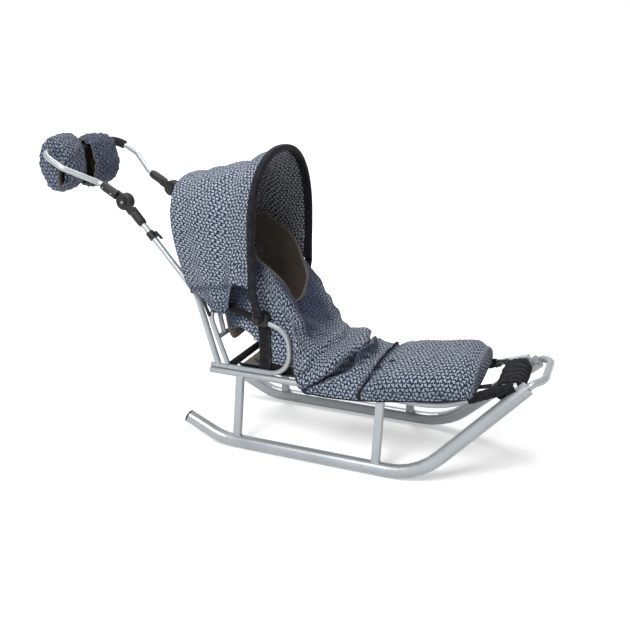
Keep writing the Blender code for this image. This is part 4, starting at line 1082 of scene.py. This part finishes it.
def seamLine(ahead=0.0):
    # Where each column of both halves passes the knee seam, or a line ahead of it
    halves = []
    for grid in sackGrids:
        part = grid[:, sack["floorColumns"] + sack["edgeColumns"]:]
        past = part[..., 0] - seamX(part[..., 2]) - ahead
        row = np.argmax(past > 0, axis=0)
        column = np.arange(part.shape[1])
        share = (past[row, column] / (past[row, column] - past[row - 1, column]))[:, None]
        halves.append(part[row, column] * (1 - share) + part[row - 1, column] * share)
    return np.concatenate([halves[0], halves[1][-2::-1]])


seamPath = smoothed(evenColumns(seamLine()[None], 150)[0], 3)
sackPiping = carried("sackPiping", seamPath, ringOutline(piping["radius"], 8), (1, 0, 0), blackTape)
placed(sackPiping)
for number, ahead in enumerate((-piping["stitchesFrom"], piping["stitchesFrom"])):
    line = seamLine(ahead)
    line = line + (line - np.array([0, 0, 0.25])) * np.array([0, 0.003, 0.006])
    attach(stitches("sackStitches" + str(number), line), "frame")


def onSack(grid, x, y, lift):
    # Points of the sack's top nearest to the given x and y, raised by lift
    top = grid[:, topFrom - 8:].reshape(-1, 3)
    gap = (top[None, :, 0] - x[:, None]) ** 2 + (top[None, :, 1] - y[:, None]) ** 2
    return np.stack([x, y, top[gap.argmin(axis=1), 2] + lift], axis=1)


tabX = np.linspace(tab["from"], tab["to"], 30)
tabPath = onSack(sackGrids[0], tabX, tab["y"] + 0.012 * np.sin((tabX - tab["from"]) * 30), tab["lift"])
tabOutline = bandOutline(tab["halfWidth"], tab["halfThick"], 14)
placed(carried("sackTab", smoothed(tabPath, 6), tabOutline, (0, 1, 0), blackTape))
print("piping and tab made")


# Stuffed pieces

def puffed(name, source, spec, finish):
    # A closed shape remeshed to even quads, blown up as cloth for 20 frames, each point held
    # within spec["cap"] of where it started, then kept as a plain mesh
    remesh = source.modifiers.new("remesh", "REMESH")
    remesh.mode = "VOXEL"
    remesh.voxel_size = spec["voxel"]
    graph = bpy.context.evaluated_depsgraph_get()
    mesh = bpy.data.meshes.new_from_object(source.evaluated_get(graph))
    bpy.data.objects.remove(source, do_unlink=True)
    mesh.name = name
    made = bpy.data.objects.new(name, mesh)
    bpy.context.collection.objects.link(made)
    rest = readValues(mesh.vertices, "co", 3)
    final = rest
    cloth = made.modifiers.new("cloth", "CLOTH")
    cloth.settings.use_pressure = True
    cloth.settings.uniform_pressure_force = spec["pressure"]
    cloth.settings.tension_stiffness = 15
    cloth.settings.effector_weights.gravity = 0
    cloth.point_cache.frame_start = 1
    cloth.point_cache.frame_end = 20
    for number in range(1, 21):
        bpy.context.scene.frame_set(number)
    graph = bpy.context.evaluated_depsgraph_get()
    shown = made.evaluated_get(graph).to_mesh()
    step = readValues(shown.vertices, "co", 3) - rest
    made.evaluated_get(graph).to_mesh_clear()
    far = np.linalg.norm(step, axis=1, keepdims=True)
    final = rest + step * np.minimum(1, spec["cap"] / np.maximum(far, 1e-9))
    made.modifiers.remove(cloth)
    bpy.context.scene.frame_set(1)
    final = spec.get("shape", lambda p: p)(final)
    mesh.vertices.foreach_set("co", final.astype(np.float32).ravel())
    mesh.update()
    mesh.materials.clear()
    mesh.materials.append(finish)
    mesh.shade_smooth()
    smooth = made.modifiers.new("smooth", "SUBSURF")
    smooth.levels = smooth.render_levels = 1
    return made


def boxGrid(name, centres, halfWide, halfThick, normal, finish, power=4.0, around=36):
    # Closed pad: a superellipse section round each centre, wide in y and thick along normal, with
    # flat ends
    angle = np.linspace(0, 2 * math.pi, around, endpoint=False)
    reach = (np.abs(np.cos(angle)) ** power + np.abs(np.sin(angle)) ** power) ** (-1 / power)
    wide, thick = reach * np.cos(angle), reach * np.sin(angle)
    wide, thick = wide[None, :] * halfWide[:, None], thick[None, :] * halfThick[:, None]
    points = (centres[:, None, :] + np.array([0, 1, 0]) * wide[..., None]
              + normal[:, None, :] * thick[..., None])
    made = buildMesh(name, points.reshape(-1, 3), gridFaces(len(centres), around, True), materials=[finish])
    work = bmesh.new()
    work.from_mesh(made.data)
    work.verts.ensure_lookup_table()
    last = (len(centres) - 1) * around
    work.faces.new([work.verts[i] for i in range(around)])
    work.faces.new([work.verts[i] for i in range(last + around - 1, last - 1, -1)])
    bmesh.ops.recalc_face_normals(work, faces=work.faces)
    work.to_mesh(made.data)
    work.free()
    return made


backCushion = {
    "low": 0.322, "high": 0.738, "halfWidth": 0.122, "halfThick": 0.0125, "frontAt": 0.0275,
    "voxel": 0.005, "pressure": 4.0, "cap": 0.012, "recline": 11.9, "crossX": -0.18255, "crossZ": 0.345,
    "seams": (0.455, 0.595), "seamDepth": 0.006, "seamWidth": 0.006,
}


def makeBackCushion():
    # A slab along the reclined back, its top corners rounded; two sewn lines pull it in across
    lean = math.radians(backCushion["recline"])
    outwards = np.array([math.cos(lean), 0, math.sin(lean)])

    def middleX(z):
        fromCross = (z - backCushion["crossZ"]) * math.tan(lean)
        return backCushion["crossX"] - fromCross + backCushion["frontAt"] / math.cos(lean)

    share = np.linspace(0, 1, 40)
    z = backCushion["low"] + (backCushion["high"] - backCushion["low"]) * share
    narrower = 0.28 * np.clip((share - 0.88) / 0.12, 0, 1) ** 2
    narrower = narrower + 0.1 * np.clip((0.06 - share) / 0.06, 0, 1) ** 2
    wide = backCushion["halfWidth"] * (1 - narrower)
    thick = backCushion["halfThick"] * np.clip(np.minimum(share, 1 - share) / 0.03, 0.35, 1) ** 0.5
    source = boxGrid("backSource", np.stack([middleX(z), 0 * z, z], axis=1), wide, thick,
                     np.tile(outwards, (len(z), 1)), brownFleece)

    def seams(points):
        depth = sum(hump(points[:, 2] - line, backCushion["seamWidth"]) for line in backCushion["seams"])
        front = points[:, 0] > middleX(points[:, 2])
        wave = 0.0016 * ripples(points[:, 1], points[:, 2], 4, 0.09)
        return points + outwards * (front * (wave - backCushion["seamDepth"] * depth))[:, None]

    return puffed("backCushion", source, {**backCushion, "shape": seams}, brownFleece)


seatCushion = {"rear": -0.094, "front": 0.126, "halfWidth": 0.112, "halfThick": 0.0095, "middle": 0.2720,
               "voxel": 0.005, "pressure": 3.0, "cap": 0.006}


def makeSeatCushion():
    # A flat slab on the seat, a little narrower in front
    share = np.linspace(0, 1, 30)
    x = seatCushion["rear"] + (seatCushion["front"] - seatCushion["rear"]) * share
    wide = seatCushion["halfWidth"] * (1 - 0.12 * np.clip((share - 0.85) / 0.15, 0, 1) ** 2)
    thick = seatCushion["halfThick"] * np.clip(np.minimum(share, 1 - share) / 0.05, 0.35, 1) ** 0.5
    source = boxGrid("seatSource", np.stack([x, 0 * x, 0 * x + seatCushion["middle"]], axis=1), wide, thick,
                     np.tile([0.0, 0.0, 1.0], (len(x), 1)), brownFleece)
    return puffed("seatCushion", source, seatCushion, brownFleece)


for cushion, node in ((makeBackCushion(), "back_pad"), (makeSeatCushion(), "seat_pad")):
    placed(cushion, "frame", node)
print("cushions made")


# Hand muffs

muff = {
    "halfHeight": 0.088, "wall": 0.006, "around": 110, "along": 56, "gather": (0.014, 0.009),
    "lump": 0.0058, "crumple": 0.0024, "pleats": 17, "pleatDepth": 0.0016, "pucker": 0.0022,
    "capRows": 14, "capBulge": 0.012, "uvRadius": 0.077,
    "slit": (0.0310, -0.034), "slitHalf": (0.0115, 0.038), "slitTilt": 14,
    # shade is painted shade on each muff's print, more on the far (left) one
    "right": {"x": (-0.7570, -0.7405), "halfDepth": (0.0500, 0.0640), "inner": 0.030, "outer": 0.160,
              "z": 0.8463, "seed": 3, "shade": 0.50},
    "left": {"x": (-0.7405, -0.7405), "halfDepth": (0.0655, 0.0655), "inner": -0.016, "outer": 0.102,
             "z": 0.8393, "seed": 8, "shade": 0.85},
}


def gathered(share):
    # How far the cloth is drawn in towards the inner and the outer end of a muff
    return np.where(share < 0.5, *muff["gather"]) * np.abs(2 * share - 1) ** 4


def muffRows(one):
    # Rows run along the outside from the inner to the outer end, over the end cloth to the slit, and
    # back inside: their y, how far they are drawn in, and how far they have gone from the muff's
    # ellipse to the slit's
    t = np.linspace(0, 1, muff["along"])
    cap = np.linspace(0, 1, muff["capRows"])[1:]
    back = 1 - t[1:-1]
    wall, length = muff["wall"], one["outer"] - one["inner"]
    capY = one["outer"] + muff["capBulge"] * np.sin(np.minimum(cap * 1.6, 1) * math.pi / 2) * (1 - 0.5 * cap)
    y = np.concatenate([one["inner"] + length * t, capY, [one["outer"] - wall - 0.004],
                        one["inner"] + (length - 0.012) * back, [one["inner"] - 0.002]])
    inset = np.concatenate([gathered(t), muff["gather"][1] + 0 * cap, [muff["gather"][1] + wall],
                            wall + gathered(back), [muff["gather"][0] + wall / 2]])
    shut = np.concatenate([0 * t, cap, [0.93], smoothStep(back, 0.80, 1.0), [0]])
    return y[:, None], inset[:, None], shut[:, None]


def muffPoints(one, side, y, inset, shut, angle):
    # Lumpy ellipses with pleats at both ends, drawn together into the tilted slit of the end cloth
    length = one["outer"] - one["inner"]
    lump = muff["lump"] * ripples(0.09 * np.cos(angle) + y, 0.09 * np.sin(angle) + 0.4 * y, one["seed"], 0.11)
    lump = lump + muff["crumple"] * ripples(0.09 * np.cos(angle) + 0 * y, 0.09 * np.sin(angle) + y,
                                            one["seed"] + 1, 0.035)
    ends = np.abs((y - one["inner"]) / length * 2 - 1) ** 3
    lump = lump - muff["pleatDepth"] * ends * np.sin(muff["pleats"] * angle + 5 * np.cos(angle))
    share = np.clip((y - one["inner"]) / length, 0, 1)
    middleX, halfDepth = (one[key][0] + (one[key][1] - one[key][0]) * share for key in ("x", "halfDepth"))
    wideX = (halfDepth - inset + lump) * np.cos(angle)
    wideZ = (muff["halfHeight"] - inset + lump) * np.sin(angle)
    tilt = math.radians(muff["slitTilt"])
    across, along = muff["slitHalf"][0] * np.cos(angle), muff["slitHalf"][1] * np.sin(angle)
    slitX = muff["slit"][0] + across * math.cos(tilt) + along * math.sin(tilt)
    slitZ = muff["slit"][1] - across * math.sin(tilt) + along * math.cos(tilt)
    x = middleX + wideX + (slitX - wideX) * shut
    z = one["z"] + wideZ + (slitZ - wideZ) * shut
    pucker = muff["pucker"] * np.sin(13 * angle + 3 * shut) * np.sin(math.pi * shut)
    return np.stack([x, side * (y + pucker), z], axis=2)


def makeMuff(sideName):
    # Print outside, a pale rim round both openings, fleece inside; the map goes round and along, and
    # lies flat on the end cloth
    one = muff[sideName]
    y, inset, shut = muffRows(one)
    angle = np.linspace(0, 2 * math.pi, muff["around"], endpoint=False)[None, :]
    points = muffPoints(one, -1 if sideName == "right" else 1, y, inset, shut, angle)
    rows = len(y)
    ring = np.arange(muff["around"])
    nextRing, last = np.roll(ring, -1), (rows - 1) * muff["around"]
    closing = np.stack([ring + last, nextRing + last, nextRing, ring], axis=1)
    faces = np.concatenate([gridFaces(rows, muff["around"], True), closing])
    row = faces[:, 0] // muff["around"]
    outside = muff["along"] + muff["capRows"] - 2
    slots = np.select([row < outside - 1, row < outside + 1, row < rows - 2], [0, 1, 2], 1)
    far = np.cumsum(np.abs(np.diff(y[:, 0])) + 0.07 * np.abs(np.diff(shut[:, 0])))
    far = np.concatenate([[0], far])[:, None]
    uvs = np.stack([angle * muff["uvRadius"] + 0 * y, far + 0 * angle], axis=2).reshape(-1, 2)[faces]
    behind = uvs[..., 0] < uvs[..., 0].max(axis=1, keepdims=True) - 0.2
    uvs[..., 0] += np.where(behind, 2 * math.pi * muff["uvRadius"], 0)
    onCap = (row >= muff["along"] - 1) & (row < outside)
    flat = np.stack([points[..., 0], points[..., 2]], axis=2).reshape(-1, 2)[faces]
    made = buildMesh("muffCloth" + sideName.capitalize(), points.reshape(-1, 3), faces,
                     np.where(onCap[:, None, None], flat, uvs), np.full(points.shape[:2], one["shade"]),
                     slots, [navyPrint, paleRim, brownFleece])
    placed(outwardFaces(made), "handle", "muff_" + sideName)


for sideName in ("right", "left"):
    makeMuff(sideName)
print("muffs made")


# Webbing

band = {"side": (0.0205, 0.0013), "toe": (0.015, 0.0015), "tie": (0.0115, 0.0014), "stitches": 0.0165}


def strapPiece(name, path, reference, halfWidth, halfThick, node=None, points=40):
    # A band along the smooth curve through the path's points
    path = np.array(path, float)
    share, known = np.linspace(0, 1, points), np.linspace(0, 1, len(path))
    line = np.stack([smoothCurve(known, path[:, k], share) for k in range(3)], axis=1)
    made = carried(name, line, bandOutline(halfWidth, halfThick, 18), reference, blackWebbing)
    placed(made, "frame", node)


for sideName, side in (("right", -1), ("left", 1)):
    named = sideName.capitalize()
    low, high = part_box("side_strap_" + sideName)
    x, y = (low.x + high.x) / 2, (low.y + high.y) / 2
    path = [(x, y, low.z), (x + 0.002, y - side * 0.001, (low.z + high.z) / 2), (x, y, high.z)]
    strapPiece("sideStrapBand" + named, path, (1, 0, 0), *band["side"], "side_strap_" + sideName)
    z = np.linspace(low.z + 0.004, high.z - 0.004, 60)
    for number, edge in enumerate((-band["stitches"], band["stitches"])):
        line = np.stack([x + edge + 0 * z, y + side * 0.0012 + 0 * z, z], axis=1)
        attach(stitches("strapStitches" + named + str(number), line), "frame")
    low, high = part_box("toe_strap_" + sideName)
    x, y, z = (low + high) / 2
    path = [(low.x, y, low.z + 0.002), (x, y, z), (high.x, y, high.z - 0.002)]
    strapPiece("toeStrapBand" + named, path, (0, 1, 0), *band["toe"], "toe_strap_" + sideName)


def woundBand(name, path, radius, turns):
    # Webbing wound round a tube: the ring steps out at each turn's edge, which runs round in a spiral
    side, up = pathFrames(path, (0, 0, 1))[1:]
    angle = np.linspace(0, 2 * math.pi, 28, endpoint=False)[None, :]
    share = np.linspace(0, 1, len(path))[:, None]
    place = share * turns + angle / (2 * math.pi)
    step = place - np.floor(place)
    ends = np.clip(np.minimum(share, 1 - share) / 0.03, 0, 1)
    size = radius * (1 + 0.16 * (1 - step) ** 2) * (0.90 + 0.10 * ends)
    size = size + 0.0006 * ripples(share * 0.3 + 0 * angle, np.cos(angle) * 0.02 + 0 * share, 6, 0.05)
    size[0], size[-1] = radius * 0.55, radius * 0.55
    points = rings(path, side, up, size, angle)
    points = np.concatenate([path[None, :1] + 0 * points[:1], points, path[None, -1:] + 0 * points[:1]])
    along = np.concatenate([[0], share[:, 0], [1]])[:, None] * np.linalg.norm(path[-1] - path[0])
    uvs = np.stack([along + 0 * angle, radius * angle + 0 * along], axis=2).reshape(-1, 2)
    placed(closedRings(name, points, blackWebbing, uvs))


loopBand = {"from": -0.142, "to": -0.058, "radius": 0.0096, "turns": 5, "points": 110}
railBand = {"from": 0.598, "to": {"Right": 0.720, "Left": 0.632}, "radius": 0.0132, "turnLength": 0.018,
            "points": 110}
loopLine = {"rearX": -0.2285, "rearZ": 0.4737, "frontX": 0.060, "frontZ": 0.394, "half": 0.155}
for sideName, side in (("Right", -1), ("Left", 1)):
    x = np.linspace(loopBand["from"], loopBand["to"], loopBand["points"])
    slope = (loopLine["rearZ"] - loopLine["frontZ"]) / (loopLine["rearX"] - loopLine["frontX"])
    z = loopLine["frontZ"] + slope * (x - loopLine["frontX"])
    path = np.stack([x, side * loopLine["half"] + 0 * x, z], axis=1)
    woundBand("loopWrap" + sideName, path, loopBand["radius"], loopBand["turns"])
    x = np.linspace(railBand["from"], railBand["to"][sideName], railBand["points"])
    turns = (x[-1] - x[0]) / railBand["turnLength"]
    woundBand("railWrap" + sideName, railPoint(x, side), railBand["radius"], turns)
    # a tie goes from the rail's inside up to the nose wrap
    ends = railPoint(np.array([0.622, 0.652]), side)
    low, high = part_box("nose_wrap")
    path = [ends[0] + (0, -side * 0.010, 0.009), ends[1] + (0, -side * 0.012, 0.008),
            (0.676, side * 0.074, (low.z + high.z) / 2 + 0.004)]
    strapPiece("noseTie" + sideName, path, (0, 1, 0), *band["tie"], points=30)


wrapSpec = {"halfLength": 0.042, "halfHeight": 0.029, "halfWidth": 0.100, "tilt": 24, "turns": 6,
            "ahead": 0.011, "below": 0.013, "power": 2.7}


def makeWrap():
    # Six overlapping turns of webbing: a squarish outline whose size steps up at each turn's edge
    low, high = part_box("nose_wrap")
    centre = (low + high) / 2 + Vector((wrapSpec["ahead"], 0, -wrapSpec["below"]))
    along = np.linspace(-1, 1, 160)[:, None]
    angle = np.linspace(0, 2 * math.pi, 80, endpoint=False)[None, :]
    power = wrapSpec["power"]
    reach = ((np.abs(np.cos(angle)) / wrapSpec["halfLength"]) ** power
             + (np.abs(np.sin(angle)) / wrapSpec["halfHeight"]) ** power) ** (-1 / power)
    place = (along + 1) / 2 * wrapSpec["turns"] + 1.2 * angle / (2 * math.pi)
    place = place + 0.25 * np.sin(2 * angle + 3 * along)
    step = place - np.floor(place)
    uneven = ripples(along * 0.1 + 0 * angle, np.cos(angle) * 0.05 + 0 * along, 2, 0.07)
    size = 1 - 0.08 * step ** 2 + 0.10 * uneven
    ends = np.clip((1 - np.abs(along)) / 0.06, 0, 1) ** 0.5
    size = size * (0.25 + 0.75 * ends)
    tilt = math.radians(wrapSpec["tilt"])
    a, b = reach * np.cos(angle) * size, reach * np.sin(angle) * size
    x = centre.x + a * math.cos(tilt) - b * math.sin(tilt)
    z = centre.z + a * math.sin(tilt) + b * math.cos(tilt)
    y = wrapSpec["halfWidth"] * along + 0 * angle
    points = np.stack([x, y, z], axis=2)
    middle = np.stack([0 * y[:, :1] + centre.x, y[:, :1], 0 * y[:, :1] + centre.z], axis=2)
    points[0], points[-1] = middle[0], middle[-1]
    uvs = np.stack([y, angle * 0.03 + 0 * along], axis=2).reshape(-1, 2)
    faces = gridFaces(*points.shape[:2], True)
    made = buildMesh("noseWrapBands", points.reshape(-1, 3), faces, uvs, materials=[blackWebbing])
    placed(facing(merged(made), tuple(centre)), "frame", "nose_wrap")


makeWrap()
print("webbing made")


# Weld beads and screws

post = {"x": {"Rear": -0.107, "Front": 0.349}, "footHalf": (0.0128, 0.0104), "headHalf": (0.0128, 0.0086),
        "bead": 0.0019, "ripples": 34, "runnerY": 0.190, "runnerZ": 0.021, "runnerRadius": 0.021}


def weldBead(name, centre, axis, half, pipe):
    # A rippled bead where a post meets a tube that runs along x. The post's outline, a rounded
    # rectangle, is carried along the post's axis until it meets the tube's surface.
    axis = np.asarray(axis, float) / np.linalg.norm(axis)
    side = np.cross(axis, (1.0, 0, 0))
    angle = np.linspace(0, 2 * math.pi, 72, endpoint=False)
    reach = (np.abs(np.cos(angle)) ** 6 + np.abs(np.sin(angle)) ** 6) ** (-1 / 6)
    a, b = half[0] * reach * np.cos(angle), half[1] * reach * np.sin(angle)
    start = side[None] * b[:, None]
    dot = start[:, 1] * axis[1] + start[:, 2] * axis[2]
    free = start[:, 1] ** 2 + start[:, 2] ** 2 - pipe ** 2
    travel = -dot + np.sqrt(np.maximum(dot ** 2 - free, 0))
    line = np.asarray(centre, float) + np.array([1.0, 0, 0]) * a[:, None] + start + axis * travel[:, None]
    line = np.concatenate([line, line[:1]])
    out, up = (one[1:-1] for one in pathFrames(np.concatenate([line[-2:-1], line, line[1:2]]), axis)[1:])
    around = np.linspace(0, 2 * math.pi, 8, endpoint=False)[None, :]
    bulge = post["bead"] * (1 + 0.18 * np.cos(angle * post["ripples"]))
    bulge = np.concatenate([bulge, bulge[:1]])[:, None]
    placed(closedRings(name, rings(line, out, up, bulge, around), silverPaint))


for place, x in post["x"].items():
    for sideName, side in (("Right", -1), ("Left", 1)):
        foot = np.array([x, side * post["runnerY"], post["runnerZ"]])
        head = np.array([x, side * rail["half"], rail["level"]])
        weldBead("weldFoot" + place + sideName, foot, head - foot, post["footHalf"], post["runnerRadius"])
        weldBead("weldHead" + place + sideName, head, foot - head, post["headHalf"], rail["radius"])

swivel = {"pivot": (-0.499, 0.137, 0.744), "lower": (0.6752, -0.7376), "upper": (-0.8704, 0.4924)}
# what each screw moves with, its way from the pivot, and how far it lies along it and outwards
sockets = ((0.048, 0.0150), (0.082, 0.0140))
screws = {"lower": ("frame", "lower", sockets), "upper": ("handle", "upper", sockets),
          "collar": ("frame", "lower", ((0.135, 0.0135),))}
screwHead = {"height": 0.0012, "small": (0.0026, 0.0012), "knob": (0.0040, 0.0018)}


def makeScrew(name, centre, side, radius, socket, body):
    # A low dome that looks outwards, with a rounded edge and a round recess
    way, height = np.array([0, side, 0]), screwHead["height"]
    first = np.cross(way, (0.3, 0.1, 0.95))
    first = first / np.linalg.norm(first)
    second = np.cross(way, first)
    profile = np.array([(0, -0.2 * height), (radius * 0.92, -0.2 * height), (radius, 0.15 * height),
                        (radius * 0.95, 0.45 * height), (radius * 0.75, 0.8 * height),
                        (radius * 0.5, height), (socket, height), (socket * 0.95, 0.35 * height),
                        (0, 0.35 * height)])
    angle = np.linspace(0, 2 * math.pi, 20, endpoint=False)[None, :]
    points = rings(np.array(centre) + way * profile[:, 1:], first[None], second[None], profile[:, :1], angle)
    placed(closedRings(name, points, silverPaint), body)


for sideName, side in (("Right", -1), ("Left", 1)):
    for label, (body, key, spots) in screws.items():
        for number, (distance, outer) in enumerate(spots):
            x, y, z = swivel["pivot"]
            place = (x + distance * swivel[key][0], side * (y + outer), z + distance * swivel[key][1])
            makeScrew(label + "Screw" + sideName + str(number), place, side, *screwHead["small"], body)
    low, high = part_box("swivel_knob_" + sideName.lower())
    place = ((low.x + high.x) / 2, low.y if side < 0 else high.y, (low.z + high.z) / 2)
    makeScrew("knobScrew" + sideName, place, side, *screwHead["knob"], "frame")
print("small fittings made")


# Stage

stage = {"half": 40.0, "z": -0.0005, "glow": (0.9, 2.4, 0.38, 1.1), "worldShown": 0.57, "worldLight": 0.43}


def makeStage():
    # A pale floor that glows for the camera and in reflections, less near the sled than far away,
    # and a world that is white there but lights the sled with less
    made = bpy.data.materials.new("paleStage")
    made.use_nodes = True
    tree = made.node_tree
    shader = tree.nodes["Principled BSDF"]
    shader.inputs["Base Color"].default_value = (0.90, 0.90, 0.90, 1)
    shader.inputs["Roughness"].default_value = 1.0
    shader.inputs["Specular IOR Level"].default_value = 0.0
    path = tree.nodes.new("ShaderNodeLightPath")
    far = tree.nodes.new("ShaderNodeVectorMath")
    far.operation = "LENGTH"
    tree.links.new(coordinates(tree, "Object"), far.inputs[0])
    level = spread(tree, far.outputs["Value"], *stage["glow"])
    seen = calc(tree, "MAXIMUM", path.outputs["Is Camera Ray"], path.outputs["Is Glossy Ray"])
    shader.inputs["Emission Color"].default_value = (1, 1, 1, 1)
    tree.links.new(calc(tree, "MULTIPLY", seen, level), shader.inputs["Emission Strength"])
    corners = np.array([(-1, -1, 0), (1, -1, 0), (1, 1, 0), (-1, 1, 0)]) * stage["half"]
    buildMesh("floor", corners + (0, 0, stage["z"]), np.array([[0, 1, 2, 3]]), materials=[made])
    world = bpy.data.worlds.new("studio")
    bpy.context.scene.world = world
    world.use_nodes = True
    tree = world.node_tree
    background = tree.nodes["Background"]
    background.inputs["Color"].default_value = (1, 1, 1, 1)
    path = tree.nodes.new("ShaderNodeLightPath")
    seen = calc(tree, "MAXIMUM", path.outputs["Is Camera Ray"], path.outputs["Is Glossy Ray"])
    seen = calc(tree, "MAXIMUM", seen, path.outputs["Is Transmission Ray"])
    strength = calc(tree, "MULTIPLY_ADD", seen, stage["worldShown"], stage["worldLight"])
    tree.links.new(strength, background.inputs["Strength"])
    bpy.context.scene.view_settings.view_transform = "Standard"


makeStage()
print("scene ready")
